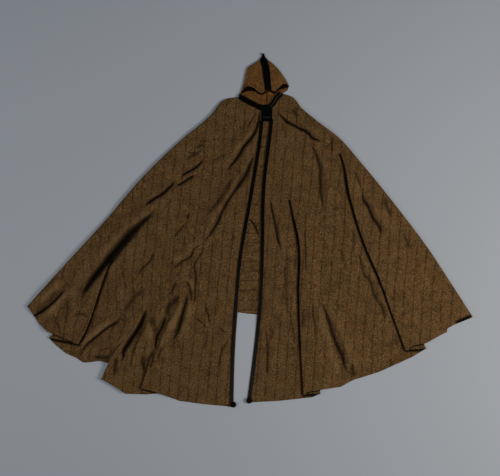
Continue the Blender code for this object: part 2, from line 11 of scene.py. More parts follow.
import bpy
import numpy as np
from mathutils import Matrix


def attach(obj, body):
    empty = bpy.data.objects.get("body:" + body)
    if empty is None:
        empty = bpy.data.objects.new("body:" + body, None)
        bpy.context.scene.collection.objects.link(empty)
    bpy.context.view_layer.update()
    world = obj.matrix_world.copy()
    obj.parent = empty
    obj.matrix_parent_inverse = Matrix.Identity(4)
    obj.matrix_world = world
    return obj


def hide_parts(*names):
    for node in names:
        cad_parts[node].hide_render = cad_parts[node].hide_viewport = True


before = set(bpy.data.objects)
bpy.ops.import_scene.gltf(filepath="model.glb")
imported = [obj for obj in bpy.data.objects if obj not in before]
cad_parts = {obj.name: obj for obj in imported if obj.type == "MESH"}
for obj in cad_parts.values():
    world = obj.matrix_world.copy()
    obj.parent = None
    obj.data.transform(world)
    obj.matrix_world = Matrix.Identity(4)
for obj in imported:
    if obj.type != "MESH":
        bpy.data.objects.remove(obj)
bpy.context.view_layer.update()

MM = 0.001
# The middle of the outline, which is the origin
CENTRE = (0.0, 0.8)
SEED = 7
SIDES = ("left", "right")
UP = np.array((0.0, 0.0, 1.0))
TINY = 1e-9
# Points to a stretch of a curve: as drawn, for distances, and for keeping creases apart
CURVE_STEPS = 8
COARSE_STEPS = 3
SET_STEPS = 4

# Cloth, and the levels of its middle surface on the ground and on the back
WALL = 2.0
HALF_WALL = WALL / 2
EDGE_ROUND = 0.8
SHARP_ANGLE = 62
GROUND_LEVEL = HALF_WALL
FRONT_LEVEL = 3.6
ROWS = 190
ROW_CROWDING = 0.25
# How far past the back's hem a front starts to drop to the ground, and over what length
HEM_DROP_START = 5.0
HEM_DROP_LENGTH = 75.0
# The turned hem: its width, the thickness that it adds, and the width of its step
HEM_TURNED = 13.0
HEM_EXTRA = 0.7
HEM_STEP = 3.0
# The round bends at the sides, and how far down they are fully grown
SIDE_RADIUS = 5.0
SIDE_RADIUS_AT_NECK = 2.2
SIDE_GROWN = 0.15
SIDE_SETTLE = 95.0
BEND_CELLS = 8
# How much a front stands off the back, and over what width at its edge
PUFF = 3.0
PUFF_EDGE = 60.0

# Lengthwise lines of the body, each from the neck to the hem, as (x, y)
LINES = {
    "left edge": ((66, 591), (66, 526), (57, 435), (27, 243), (-6, 51), (-37, -127), (-56, -333),
        (-75, -631), (-80, -846)),
    "left pleat 1": ((14, 598), (16, 459), (-6, 339), (-50, 238), (-115, 128), (-182, -2), (-312, -242),
        (-408, -463), (-475, -616), (-522, -756)),
    "left pleat 2": ((-22, 616), (-58, 483), (-120, 339), (-288, 51), (-446, -237), (-566, -453),
        (-672, -621), (-713, -713)),
    "left pleat 3": ((-47, 632), (-90, 540), (-168, 420), (-346, 214), (-528, 32), (-662, -132),
        (-720, -285), (-787, -472), (-826, -543)),
    "left side": ((-65, 640), (-125, 627), (-187, 555), (-336, 430), (-528, 243), (-692, 51), (-912, -189),
        (-1068, -362)),
    "right side": ((161, 656), (206, 640), (244, 592), (312, 534), (432, 441), (522, 339), (720, 94),
        (854, -84), (960, -245), (1068, -413)),
    "right pleat 2": ((146, 641), (190, 600), (288, 531), (394, 435), (437, 363), (480, 161), (557, -84),
        (624, -237), (696, -439), (745, -573)),
    "right pleat 1": ((123, 618), (137, 483), (163, 339), (206, 89), (235, -45), (236, -333), (245, -573),
        (256, -786)),
    "right edge": ((97, 593), (95, 526), (77, 387), (59, 243), (52, 123), (50, -45), (45, -237), (35, -405),
        (12, -621), (-15, -825)),
    "centre back": ((82, 581), (38, 243), (0, -93), (-10, -399)),
}
# Stretches of the hem between those lines, from the left edge round to the right edge
HEMS = {
    "left centre": ((-80, -846), (-216, -832), (-336, -817), (-408, -789), (-470, -768), (-522, -756)),
    "left middle": ((-436, -781), (-504, -786), (-595, -781), (-648, -747), (-713, -713)),
    "left outer": ((-619, -650), (-720, -624), (-768, -631), (-799, -633), (-835, -609), (-883, -588),
        (-941, -540), (-965, -515)),
    "left wing": ((-826, -543), (-912, -506), (-970, -484), (-1013, -444), (-1068, -362)),
    "left back": ((-1068, -362), (-768, -362), (-384, -376), (-53, -392), (-10, -399)),
    "right back": ((-10, -399), (36, -406), (384, -408), (720, -410), (1068, -413)),
    "right wing": ((1068, -413), (970, -456), (946, -470), (946, -486), (893, -512), (840, -540),
        (782, -549), (745, -573)),
    "right outer": ((845, -567), (778, -606), (624, -676), (494, -717), (432, -750), (336, -762),
        (274, -772), (256, -786)),
    "right centre": ((337, -783), (298, -799), (144, -816), (-15, -825)),
}
PANEL_CELLS = {"left centre": 52, "left middle": 36, "left outer": 44, "left wing": 32,
               "right wing": 50, "right outer": 84, "right centre": 54}
# Each front as the lines, panels and pleats that follow on one another
FRONTS = {
    "left": ("left edge", "left centre", "left pleat 1", "left middle", "left pleat 2",
             "left outer", "left pleat 3", "left wing", "left side"),
    "right": ("right side", "right wing", "right pleat 2", "right outer", "right pleat 1",
              "right centre", "right edge"),
}
# The lines at both sides of each half of the back, and its columns as shares of its width,
# closer together where it shows between the fronts
BACK_LINES = {"left back": ("left side", "centre back"),
              "right back": ("centre back", "right side")}
# How far along the right half, at the neck, the left stretch ends and the right one starts
PARTING = 0.3
LEFT_BACK_COLUMNS = np.append(np.linspace(0, 0.93, 12), (0.955, 0.97, 0.985, 1))
RIGHT_BACK_COLUMNS = np.array((0.012, 0.024, 0.036, 0.048, 0.064, 0.09, 0.13, 0.18, 0.24,
                               PARTING))
HIDDEN_BACK_COLUMNS = np.linspace(PARTING, 1, 10)
# The gap that the back shows in: its half width, its top and the length that it starts over,
# and how much of the ripples the back has there
GAP_WIDTH = 70.0
GAP_TOP = 480.0
GAP_FADE = 120.0
BACK_RIPPLE = 0.35
BACK_PUFF = 0.2

# S-folds, by the line of the edge that shows: the way from it to the hidden fold at the hem,
# how far down the fold starts and lies fully over, the radius of its bends,
# whether the raised side comes first on the way round, and how far the dark beside it is
# held back in its middle and at its hem
Pleat = namedtuple("Pleat", "overlap start full radius raised_first held_back "
                            "held_back_at_hem")
PLEATS = {
    "left pleat 1": Pleat((86, -25), 0.84, 0.94, 3.2, True, 4.0, 4.0),
    "left pleat 2": Pleat((94, 63), 0.83, 0.96, 3.2, True, 9.0, 9.0),
    "left pleat 3": Pleat((-139, 28), 0.66, 0.84, 3.4, False, -2.0, -2.0),
    "right pleat 2": Pleat((100, 6), 0.25, 0.50, 3.4, True, -3.0, 2.0),
    "right pleat 1": Pleat((81, 3), 0.30, 0.52, 3.4, True, -3.0, 2.0),
}
PLEAT_SETTLE = 90.0
PLEAT_BEGIN = 0.08
PLEAT_ARC_CELLS = 6
PLEAT_MIDDLE_CELLS = 6
# Before a pleat turns, its bend is spread out, and narrower where the neck is near
PLEAT_LEAST_TURN = 1.2
PLEAT_LEAST_MIDDLE = 9.0
PLEAT_STRAIGHT = 0.001
PLEAT_NARROW = 0.35
PLEAT_NARROW_TO = 0.3
# How far soft folds die away where a pleat lies over
PLEAT_CALM = 0.9
PLEAT_CALM_REACH = 75.0
# How far down a pleat's dark starts to change to what it is at the hem, and over what
HELD_BACK_FROM = 0.6
HELD_BACK_OVER = 0.3

# Soft folds: the line of the crest, its height, and its half widths to the left and to the
# right of that line's direction
Fold = namedtuple("Fold", "crest height left right")
FOLDS = [Fold(*row) for row in (
    (((-394, 185), (-456, 132), (-528, 70), (-600, 3), (-662, -60), (-720, -117), (-768, -175),
      (-806, -232), (-830, -290)), 26, 26, 42),
    (((-888, -223), (-960, -285), (-1032, -348)), 10, 22, 26),
    (((-854, -276), (-922, -348), (-998, -434)), 10, 26, 22),
    (((-648, -410), (-715, -463), (-778, -511), (-821, -568)), 13, 18, 32),
    (((-514, -372), (-576, -468), (-629, -549), (-658, -612), (-686, -679)), 17, 18, 40),
    (((-461, -400), (-499, -492), (-538, -583), (-562, -679)), 12, 34, 18),
    (((-384, -295), (-432, -400), (-480, -496), (-490, -573)), 14, 18, 34),
    (((-365, -391), (-403, -487), (-432, -583)), 9, 26, 14),
    (((-331, -324), (-355, -410), (-389, -506)), 10, 14, 26),
    (((-278, -314), (-298, -410), (-331, -516)), 8, 26, 14),
    (((-336, -232), (-293, -247), (-264, -295)), 7, 18, 18),
    (((14, 550), (-10, 473), (-58, 411), (-115, 334), (-163, 272)), 8, 16, 30),
    (((0, 377), (-29, 300), (-86, 214), (-149, 118), (-211, 12), (-254, -60)), 14, 18, 36),
    (((-384, -151), (-307, -103), (-240, -60)), 7, 28, 14),
    (((173, 598), (240, 536), (302, 483), (365, 449)), 9, 28, 18),
    (((317, 406), (365, 310), (384, 204), (374, 118)), 9, 34, 18),
    (((461, 368), (485, 262), (514, 156), (547, 51), (595, -74)), 8, 34, 18),
    (((557, 204), (600, 123), (648, 41), (682, -26)), 9, 34, 18),
    (((130, 75), (163, -69), (178, -189)), 5, 24, 24),
    (((211, 166), (230, 89), (254, 12), (264, -93), (264, -285)), 7, 30, 14),
    (((312, -357), (365, -516), (394, -621), (437, -741)), 8, 20, 40),
    (((403, -372), (451, -506), (485, -602), (538, -688)), 7, 36, 20),
    (((575, -190), (618, -250), (645, -330), (672, -400), (680, -460)), 6, 24, 14),
    (((125, -470), (120, -720)), 4, 30, 30),
)]
# Creases: the line of the bottom, the half width of its core, and how dark its painted shade is
Crease = namedtuple("Crease", "line core dark")
CREASES = [Crease(*row) for row in (
    (((-437, 108), (-480, 70), (-528, 29), (-576, -18), (-624, -74), (-662, -131), (-696, -165),
      (-720, -193), (-744, -224), (-768, -256), (-787, -285), (-802, -316), (-806, -352)), 14, 1),
    (((-509, 44), (-562, -4), (-605, -52), (-650, -106), (-690, -154), (-722, -198)), 20, 1),
    (((-355, 243), (-384, 209), (-413, 180), (-451, 156), (-480, 137), (-509, 113)), 6, 1),
    (((-259, 267), (-288, 252), (-317, 233), (-336, 221), (-360, 214)), 5, 0.9),
    (((-222, 348), (-232, 331), (-250, 311), (-276, 292), (-305, 278), (-336, 250)), 5, 1),
    (((-216, 412), (-240, 406), (-262, 398)), 7, 0.45),
    (((-240, 372), (-262, 366), (-290, 352), (-307, 336)), 6, 0.45),
    (((-1092, -446), (-1045, -414), (-1002, -390), (-960, -360), (-926, -328), (-898, -297),
      (-872, -274)), 5, 1),
    (((-461, -93), (-470, -127), (-480, -146), (-504, -170), (-523, -189), (-542, -223)), 4, 0.65),
    (((-619, -405), (-638, -439), (-672, -458), (-706, -482), (-734, -506), (-758, -525), (-782, -544),
      (-802, -573), (-816, -607)), 5, 0.85),
    (((-499, -276), (-538, -304), (-562, -324), (-586, -362), (-610, -396)), 11, 0.35),
    (((-490, -362), (-504, -400), (-518, -434), (-533, -463), (-552, -496), (-571, -525), (-590, -554),
      (-605, -578), (-607, -607), (-619, -640)), 9, 1),
    (((-854, -415), (-826, -400), (-802, -400), (-773, -415)), 5, 0.45),
    (((-888, -324), (-872, -372), (-880, -420), (-866, -460)), 4, 0.35),
    (((-928, -432), (-914, -470), (-906, -500)), 4, 0.4),
    (((-730, -583), (-696, -568), (-662, -559)), 3, 0.4),
    (((-754, -607), (-672, -607)), 7, 0.5),
    (((-307, 36), (-336, 3), (-350, -12), (-365, -36)), 4, 0.6),
    (((-293, 84), (-302, 51)), 6, 0.5),
    (((43, 590), (44, 540), (34, 497), (22, 466), (3, 440), (-19, 415), (-36, 391), (-50, 366), (-74, 332),
      (-98, 303), (-120, 275)), 6.5, 0.95),
    (((34, 579), (19, 550), (5, 526), (-14, 488)), 3, 0.5),
    (((34, 401), (19, 358), (5, 324), (-10, 291), (-24, 262), (-43, 233), (-67, 200), (-86, 171),
      (-106, 142), (-120, 118), (-139, 80), (-154, 41), (-178, 3), (-197, -26), (-221, -50),
      (-235, -74)), 6, 0.9),
    (((-226, -64), (-250, -74), (-269, -88), (-278, -112), (-293, -132), (-322, -146), (-346, -165),
      (-370, -184)), 4, 0.7),
    (((-221, -60), (-226, -93), (-240, -117), (-254, -141), (-264, -156), (-266, -189), (-259, -228),
      (-264, -266), (-264, -309), (-269, -348), (-274, -376)), 4, 0.65),
    (((-77, 257), (-101, 224), (-125, 180), (-149, 142), (-178, 108), (-211, 70)), 9, 0.45),
    (((14, 345), (-4, 306), (-16, 276), (-32, 248), (-54, 216), (-82, 176)), 9, 0.9),
    (((-322, -232), (-298, -252), (-288, -276), (-283, -304), (-283, -352)), 4, 0.65),
    (((-350, -242), (-370, -276), (-379, -319)), 6, 0.6),
    (((-302, -295), (-307, -338), (-317, -376), (-326, -410), (-336, -448), (-346, -482), (-360, -511),
      (-379, -535)), 4.5, 0.8),
    (((-341, -309), (-370, -343), (-389, -362), (-398, -386), (-403, -410)), 12, 0.6),
    (((-403, -400), (-408, -420), (-418, -453), (-432, -482), (-446, -511), (-451, -540),
      (-456, -578)), 6, 0.95),
    (((-470, -410), (-461, -453), (-456, -496)), 11, 0.45),
    (((-216, -352), (-206, -391), (-197, -424), (-197, -458)), 3, 0.65),
    (((-264, -415), (-235, -439), (-211, -463), (-192, -468)), 3, 0.5),
    (((-202, -468), (-211, -525), (-221, -578)), 5, 0.35),
    (((-149, -458), (-130, -482), (-106, -492)), 3, 0.5),
    (((-96, -516), (-115, -544), (-134, -573), (-144, -612), (-154, -664)), 4, 0.5),
    (((-514, -592), (-514, -645), (-504, -679)), 8, 0.5),
    (((-422, -549), (-432, -583), (-442, -631)), 4, 0.5),
    (((-456, -578), (-470, -631), (-485, -669)), 4, 0.5),
    (((-547, -544), (-562, -583), (-576, -664)), 4, 0.35),
    (((-638, -602), (-648, -698)), 10, 0.4),
    (((-110, 372), (-144, 353), (-182, 334)), 4, 0.35),
    (((-206, 435), (-245, 420)), 4, 0.4),
    (((-221, 392), (-264, 372), (-298, 368)), 4, 0.4),
    (((130, 584), (139, 564), (154, 545), (173, 526), (192, 514), (216, 502), (240, 488), (264, 478),
      (283, 464), (298, 444), (317, 437), (336, 428), (350, 411)), 6, 0.95),
    (((288, 425), (298, 401), (312, 382), (322, 348), (331, 320), (336, 286), (336, 252), (341, 214),
      (341, 166), (350, 128), (336, 84)), 7, 0.65),
    (((389, 449), (391, 411), (394, 368)), 4, 0.5),
    (((533, 195), (538, 176), (542, 152), (562, 123), (576, 89), (590, 60), (610, 32), (624, 8),
      (629, -36)), 7, 0.85),
    (((499, 286), (514, 252), (523, 224), (533, 200)), 5, 0.5),
    (((643, 156), (658, 108), (672, 70)), 7, 0.45),
    (((734, -2), (749, -45), (778, -98)), 6, 0.35),
    (((504, -93), (523, -122), (533, -151), (542, -189), (547, -213), (566, -228), (581, -256), (590, -295),
      (610, -333), (629, -357), (638, -381), (643, -420), (648, -468)), 6, 0.5),
    (((494, 8), (499, -55), (490, -98)), 5, 0.4),
    (((978, -444), (1012, -430), (1042, -417), (1068, -406)), 7, 1),
    (((94, 160), (108, 92), (118, 43), (128, -8), (132, -36), (142, -66), (150, -110)), 5.5, 0.8),
    (((259, 17), (266, -69), (266, -151), (269, -218)), 3, 0.6),
    (((302, -324), (302, -405), (312, -463), (307, -530)), 4, 0.5),
    (((334, -330), (355, -372), (370, -412), (384, -453), (396, -496), (412, -535), (428, -573),
      (446, -612), (458, -660), (482, -700)), 7, 0.7),
    (((490, -636), (494, -674), (499, -708)), 7, 0.5),
    (((77, -472), (82, -549), (82, -703)), 5, 0.5),
    (((115, -448), (101, -530)), 4, 0.4),
    (((182, -88), (173, -285), (182, -429)), 7, 0.35),
    (((192, -420), (206, -477), (216, -554)), 5, 0.4),
    (((432, -88), (451, -151), (456, -199)), 4, 0.35),
    (((202, 584), (230, 545)), 7, 0.5),
    (((250, -362), (254, -410), (250, -477)), 7, 0.4),
    (((696, -496), (706, -554)), 6, 0.35),
    (((158, 516), (154, 478)), 4, 0.4),
)]
# The crease on the back that shows between the fronts, raised a little off the ground
BACK_CREASE = Crease(((-12, 60), (-2, 54), (10, 42), (22, 24), (32, 4), (38, -18), (40, -36)),
                     3.8, 0.9)
BACK_CREASE_RISE = 1.4
BACK_CREASE_WIDTH = 7.0
# A fold or crease is lower towards its ends, and a fold's crest leans over its steeper side
END_TAPER = 0.3
END_HEIGHT = 0.25
FOLD_LEAN = 0.75
FOLD_EDGE_FADE = 70.0
# How far down soft folds are full, and the relief as a whole
FOLDS_FULL = 1 / 6
RELIEF_FULL = 1 / 12
# A crease's depth as a share of its core, and its half width as a share of it and more
CREASE_DEPTH = 0.75
CREASE_WIDTH = (1.2, 4.0)
# How the finish draws its painted shade: its width and its width at the ends as shares, the share
# of its length that it fades in, and how far from it the drawing fades, beyond its core
CREASE_FINENESS = 0.86
CREASE_END_WIDTH = 0.45
CREASE_FADE = 0.15
CREASE_GATE = (13.0, 26.0)
CREASE_REACH = 60.0
# Creases closer than this go into different sets, so that each set stays clear-cut
CREASE_SETS = 5
CREASE_CLEARANCE = 62.0
CREASE_SAMPLES = 24
MARK_NAMES = ["cover", "lie"] + ["crease %d %s" % (number, what) for number in range(CREASE_SETS)
                                 for what in ("across", "strength")]
# Distances from a covering layer at which its shade is full and at which it ends, how much
# deeper it is under a hem, and the value for no cover
COVER_FULL = 3.0
COVER_REACH = 14.0
HEM_SHADE = 8.0
NO_COVER = 60.0
# How fast cover is lost across a pleat's edge, past its hem, and in the hidden folds: below
# the hem, from a start this far under it, and up from the hem
COVER_ACROSS = 0.9
COVER_PAST_HEM = 1.5
COVER_HIDDEN = 1.6
COVER_HIDDEN_START = 3.0
COVER_HIDDEN_UP = 3.0
# Passes of smoothing to tell ridges, given painted highlight, from valleys, given painted shade
LIE_PASSES = 20
# Small unevenness: (size of one wave, its height), the width of the field that it is drawn
# on, and its share at the front edges
RIPPLES = ((150, 2.2), (62, 1.7), (30, 0.8))
RIPPLE_FIELD = 2600
RIPPLE_LEAST = 0.2

# Plaits: width, thickness, number of strands, length of one turn, and spacing of points
Plait = namedtuple("Plait", "width thick strands pitch step")
FRONT_PLAIT = Plait(17.0, 5.0, 5, 33, 2.6)
NECK_PLAITS = {"left": Plait(14.0, 6.5, 3, 24, 1.6), "right": Plait(12.75, 6.5, 3, 24, 1.6)}
CLASP_PLAIT = Plait(10.0, 6.0, 3, 20, 1.6)
NECK_PLAIT_OVERLAP = 1.5
# Half sizes of a strand: as a share of its place in the width, and of the thickness
STRAND_WIDTH = 0.62
STRAND_THICK = 0.27
STRAND_SIDES = 6
SEAM_GAP = 0.3
# The front braids lie in from the edge, and reach up under the clasp and into the hem knots
BRAID_INSET = 1.5
BRAID_UNDER_CLASP = 12.0
BRAID_INTO_KNOT = 0.6
# The columns of the cloth at the front edge and a little way in
BRAID_COLUMNS = {"left": (0, 2), "right": (-1, -3)}
BRAID_EVERY = 3
NECK_LINES = {
    "left": ((56, 586, 4.6), (45, 592, 5.0), (-10, 620, 5.4), (-51, 643, 8.6)),
    "right": ((96, 594, 4.6), (108, 606, 5.0), (124, 631, 5.0), (150, 659, 6.9)),
}
PIPING_RADIUS = 1.7
PIPING_LEVEL = 4.5
PIPING_SIDES = 8

# Woven knots round a smooth core
Knot = namedtuple("Knot", "radius height bights cord core_radius core_height core_rise")
HEM_KNOT = Knot(15.0, 18.0, 5, 4.4, 10.0, 13.0, 2.0)
TIP_KNOT = Knot(7.0, 14.0, 4, 2.2, 5.0, 11.0, 1.0)
HEM_KNOT_CENTRES = {"left": (-80, -834), "right": (-4, -815)}
HEM_KNOT_FOOT = GROUND_LEVEL + HALF_WALL + SEAM_GAP
TIP_KNOT_CENTRE = (63, 843.4)
KNOT_LEADS = 3
KNOT_POINTS = 36 * KNOT_LEADS
KNOT_TILT = 0.775 * math.pi / 2
KNOT_WEAVE = 0.16
KNOT_CORD_FLAT = 0.85
KNOT_CORD_SIDES = 8
CORE_RINGS = 10
CORE_SIDES = 16
CORE_POLE = 0.03

# The clasp, and the ridges across its band: (height, place above its foot, half width)
CLASP_WIDTH = 52.0
CLASP_LEFT = 54.0
CLASP_MIDDLE = CLASP_LEFT + CLASP_WIDTH / 2
CLASP_TOP = 603.0
CLASP_FOOT = 523.0
CLASP_LEVEL = 4.9
CLASP_CROWN = 4.2
CLASP_RIDGES = ((3.2, 7, 5.5), (-2.2, 15, 3.0), (1.6, 21, 3.5))
CLASP_CELLS = (60, 25)
# The band is lower towards its sides and its foot
CLASP_SIDE_FALL = 0.55
CLASP_FOOT_SHARE = 0.25
CLASP_FOOT_EASE = 3.0
# The rib, a cord whose grey is a painted highlight: its ends and middle, how far it bows and falls, and its
# half sizes
RIB_FROM = CLASP_LEFT + 9
RIB_TO = CLASP_LEFT + CLASP_WIDTH - 8
RIB_PLACE = 20.0
RIB_LEVEL = CLASP_LEVEL + 4.0
RIB_BOW = 2.0
RIB_FALL = 2.0
RIB_HALF = 17.0
RIB_SIZE = (4.6, 2.6)
RIB_POINTS = 14
RIB_SIDES = 12

# Hood
HOOD_ROWS = 84
HOOD_UPPER_CELLS = 40
HOOD_LOWER_CELLS = 34
HOOD_RADIUS = 4.0
HOOD_RADIUS_AT_END = 2.0
HOOD_RADIUS_TAPER = 0.25
# How the upper layer swells: its rise at the crown seam, how that grows towards the mouth
# and falls to the side, and how much finer its ripples are and what width they start over
HOOD_CROWN = 15.0
HOOD_CROWN_GROWTH = 1.5
HOOD_CROWN_FALL = 1.4
HOOD_RIPPLE_FINENESS = 2.2
HOOD_CALM = 1 / 3
HOOD_CROWN_SEAM = ((64, 836.5), (67, 815), (77, 771), (82, 723), (86, 677))
HOOD_BACK_SEAM = ((64, 836.5), (72, 771), (80, 700), (82, 581.8))
HOOD_SIDE = {
    "left": ((58, 837), (43, 819), (19, 802), (-12, 780), (-22, 747), (-29, 713), (-42, 672),
             (-57, 646)),
    "right": ((70, 837), (86, 819), (106, 804), (139, 771), (163, 737), (178, 713), (188, 692)),
}
HOOD_LIP = {
    "left": ((86, 677), (77, 669), (62, 660), (48, 660), (36, 668), (21, 682), (5, 690),
             (-14, 692), (-28, 686), (-39, 672), (-57, 646)),
    "right": ((86, 677), (98, 675), (117, 664), (142, 689), (158, 704), (175, 705), (188, 692)),
}
HOOD_NECK = {
    "left": ((-57, 646), (-56, 634.7), (82, 581.8)),
    "right": ((188, 692), (178, 672), (162, 664), (82, 581.8)),
}
# Lower edge of the painted shade in the dark hollow that shows under the lip
HOOD_HOLLOW = {
    "left": ((-57, 655), (-38, 661), (-19, 669), (0, 673), (14, 673), (29, 667), (48, 655),
             (62, 655), (77, 664), (86, 671)),
    "right": ((86, 671), (98, 669), (117, 658), (127, 668), (137, 677), (148, 680), (162, 684),
              (175, 688), (188, 686)),
}
HOOD_HOLLOW_FADE = 5.0
HOOD_MARK_NAMES = ("hollow", "from seam")
# Half width of the dark line along the hood's back seam, and the fainter one beside it: its
# line as (y, x), its middle and half length, and how much fainter it is
SEAM_LINE = 5.0
BESIDE_SEAM = ((612, 54.5), (641, 50.5))
BESIDE_SEAM_MIDDLE = 617.0
BESIDE_SEAM_HALF = 24.0
BESIDE_SEAM_FAINTER = 1.8
# The dark cap over the hood's tip: points as (x, y, half width, half height), and its foot
TIP_CAP = ((63.2, 841.5, 3.0, 3.0), (63.4, 839.0, 5.5, 4.2), (64.0, 835.0, 7.5, 5.0),
           (64.6, 831.0, 9.0, 5.2), (65.0, 828.0, 9.5, 5.0))
TIP_CAP_FOOT = 819.0
TIP_CAP_RINGS = 12
TIP_CAP_SIDES = 24
TIP_CAP_OFF_GROUND = 0.1
# The tape over the crown seam: its thickness and what its edges add, from what share of its
# half width and over what share, and the first row of the hood that is wide enough for it
TAPE_WIDTH = 34.0
TAPE_THICK = 1.6
TAPE_EDGE = 0.5
TAPE_EDGE_FROM = 0.84
TAPE_EDGE_OVER = 0.08
TAPE_CELLS = 10
TAPE_FIRST_ROW = 2
TAPE_MOST = 0.95

# Dark, middle and light tones of the heather, and where it changes from one to the next
CLOAK_TONES = ((0.048, 0.027, 0.0105), (0.120, 0.071, 0.029), (0.245, 0.154, 0.068))
HOOD_TONES = ((0.064, 0.030, 0.0095), (0.155, 0.076, 0.025), (0.29, 0.155, 0.056))
HEATHER_STEPS = (0.40, 0.505, 0.62)
# What patches, flecks and fibres count for in it
HEATHER_MIX = (0.14, 0.50, 0.36)
STRIPE_TONE = (0.016, 0.008, 0.003)
SHADE_TONE = (0.0015, 0.0008, 0.0004)
RIDGE_HIGHLIGHT_TONE = (0.36, 0.23, 0.105)
RUST_TONE = (0.19, 0.085, 0.032)
BRAID_TONES = ((0.0035, 0.0032, 0.0022), (0.012, 0.0105, 0.0075))
# The tape's own dark tones, with a cool painted sheen in them
TAPE_TONES = ((0.002, 0.003, 0.0028), (0.008, 0.011, 0.011))
# Painted highlight: the pale piping between the right neck braid's cords
PIPING_HIGHLIGHT_TONE = (0.06, 0.061, 0.064)
# Painted highlight: the grey rib across the clasp
RIB_HIGHLIGHT_TONE = (0.0165, 0.0165, 0.0155)
FLOOR_TONE = (0.44, 0.46, 0.5)
# Painted sheen on the braid: the grey it turns, how much of it the plaits and the hem knots get,
# and the heights on the cloak where it starts and is full
BRAID_SHEEN_TONE = (0.031, 0.0285, 0.0245)
PLAIT_SHEEN = 0.85
KNOT_SHEEN = 0.1
BRAID_SHEEN_RAMP = (0.05, -0.72)
# Uneven patches and flecks, each as (scale, detail, roughness)
BLOTCH = (17, 3.0, 0.6)
FLECK = (165, 2.0, 0.6)
FIBRE = (520, 2.0, 0.6)
RUST = (42, 3.0, 0.6)
STRIPE_WANDER = (9, 1.0, 0.5)
STRIPE_WEAR = (26, 3.0, 0.7)
BRAID_FIBRE = (900, 2.0, 0.7)
TAPE_FLECK = (260, 3.0, 0.6)
# The stripes' pitch on the flat cloth and how far they wander, in metres
STRIPE_PITCH = 0.046
STRIPE_WANDER_BY = 0.012
# How far each tone covers the wool where it is strongest, painted highlight and shades included
RUST_SHARE = 0.30
STRIPE_SHARE = 0.5
RIDGE_HIGHLIGHT_SHARE = 0.30
LOW_SHARE = 0.60
VALLEY_SHARE = 0.22
CORE_SHARE = 0.94
COVER_SHARE = 0.91
HOLLOW_SHARE = 0.97
SEAM_SHARE = 0.85
# Ramps of painted highlight and shade: a ridge and a low by how far they lie off the cloth around,
# in millimetres, and the core and the valley of a crease by the distance in widths of its core
RIDGE_HIGHLIGHT_RAMP = (0.2, 4.0)
LOW_RAMP = (-0.2, -4.0)
CORE_RAMP = (1.9, 0.5)
VALLEY_RAMP = (4.0, 0.0)
# Rust by its noise, a stripe by its wave and by the noise that wears it, and the
# braid's tone and roughness by its fibre
RUST_RAMP = (0.42, 0.66)
STRIPE_RAMP = (0.78, 0.98)
STRIPE_WEAR_RAMP = (0.32, 0.58)
BRAID_TONE_RAMP = (0.3, 0.75)
BRAID_ROUGH_RAMP = (-0.8, 1.9)
# What the parts of the wool's relief count for in its bump
FIBRE_BUMP = 0.6
FLECK_BUMP = 0.9
TWILL_BUMP = 0.55
VALLEY_BUMP = -2.6
TWILL_ANGLE = 38
TWILL = {"Scale": 118.0, "Distortion": 1.2, "Detail": 1.0, "Detail Scale": 2.0}

# Studio: the camera looks straight down, and the lamps face the middle of the cloak
CAMERA_PLACE = (0, -0.0363, 5.67)
CAMERA_LENS = 85
CAMERA_SENSOR = 36
FLOOR_SIZE = 14.0
FLOOR_LEVEL = -0.0004
SKY = ((0.86, 0.92, 1.0, 1.0), 0.16)
# Lamps: name, place, size, power and colour
LAMPS = (
    ("key", (2.75, -0.6, 2.4), 1.3, 71, (1.0, 0.98, 0.95)),
    ("fill", (-2.6, -0.5, 2.9), 2.2, 33, (0.96, 0.98, 1.0)),
)


def eased(share):
    """An even ramp from 0 to 1 with flat ends."""
    share = np.clip(share, 0.0, 1.0)
    return share * share * (3 - 2 * share)


def blend(low, high, share):
    """The value at a share of the way from low to high."""
    return low + (high - low) * share


def bell(distance, width):
    """1 at no distance, dying away over about twice the width."""
    return np.exp(-(distance / width) ** 2)


def ends_eased(share, taper):
    """An even ramp up from both ends of a line."""
    return eased(share / taper) * eased((1 - share) / taper)


def tapered(share):
    """How strong a fold or crease is along its length."""
    return blend(END_HEIGHT, 1, ends_eased(share, END_TAPER))


def unit(vectors):
    """Vectors at a length of one."""
    return vectors / np.maximum(np.linalg.norm(vectors, axis=-1, keepdims=True), TINY)


def run_of(points):
    """Length passed at each point of a line, or of every row of a grid."""
    steps = np.linalg.norm(np.diff(points, axis=-2), axis=-1)
    return np.concatenate((np.zeros_like(steps[..., :1]), np.cumsum(steps, axis=-1)), axis=-1)


def read_off(line, values):
    """Second coordinate of a line in the plan, where its first has the given values."""
    line = np.array(line, dtype=float)
    line = line[np.lexsort((line[:, 1], line[:, 0]))]
    return np.interp(values, line[:, 0], line[:, 1])


def curve_through(knots, steps=CURVE_STEPS):
    """A smooth curve through unevenly spaced points."""
    knots = np.array(knots, dtype=float)
    if len(knots) < 3:
        return knots
    chords = np.linalg.norm(np.diff(knots, axis=0), axis=1)[:, None]
    slopes = np.diff(knots, axis=0) / chords
    before = chords[:-1]
    after = chords[1:]
    inner = (slopes[:-1] * after + slopes[1:] * before) / (before + after)
    tangents = np.vstack((slopes[:1], inner, slopes[-1:]))
    t = (np.arange(steps) / steps)[:, None]
    here = (2 * t ** 3 - 3 * t ** 2 + 1) * knots[:-1, None]
    there = (3 * t ** 2 - 2 * t ** 3) * knots[1:, None]
    leave = (t ** 3 - 2 * t ** 2 + t) * chords[:, None] * tangents[:-1, None]
    arrive = (t ** 3 - t ** 2) * chords[:, None] * tangents[1:, None]
    spans = here + there + leave + arrive
    return np.vstack((spans.reshape(-1, knots.shape[1]), knots[-1:]))


def along(points, shares):
    """Points at the given shares of the length of a polyline."""
    points = np.array(points, dtype=float)
    run = run_of(points)
    return np.column_stack([np.interp(shares * run[-1], run, column) for column in points.T])


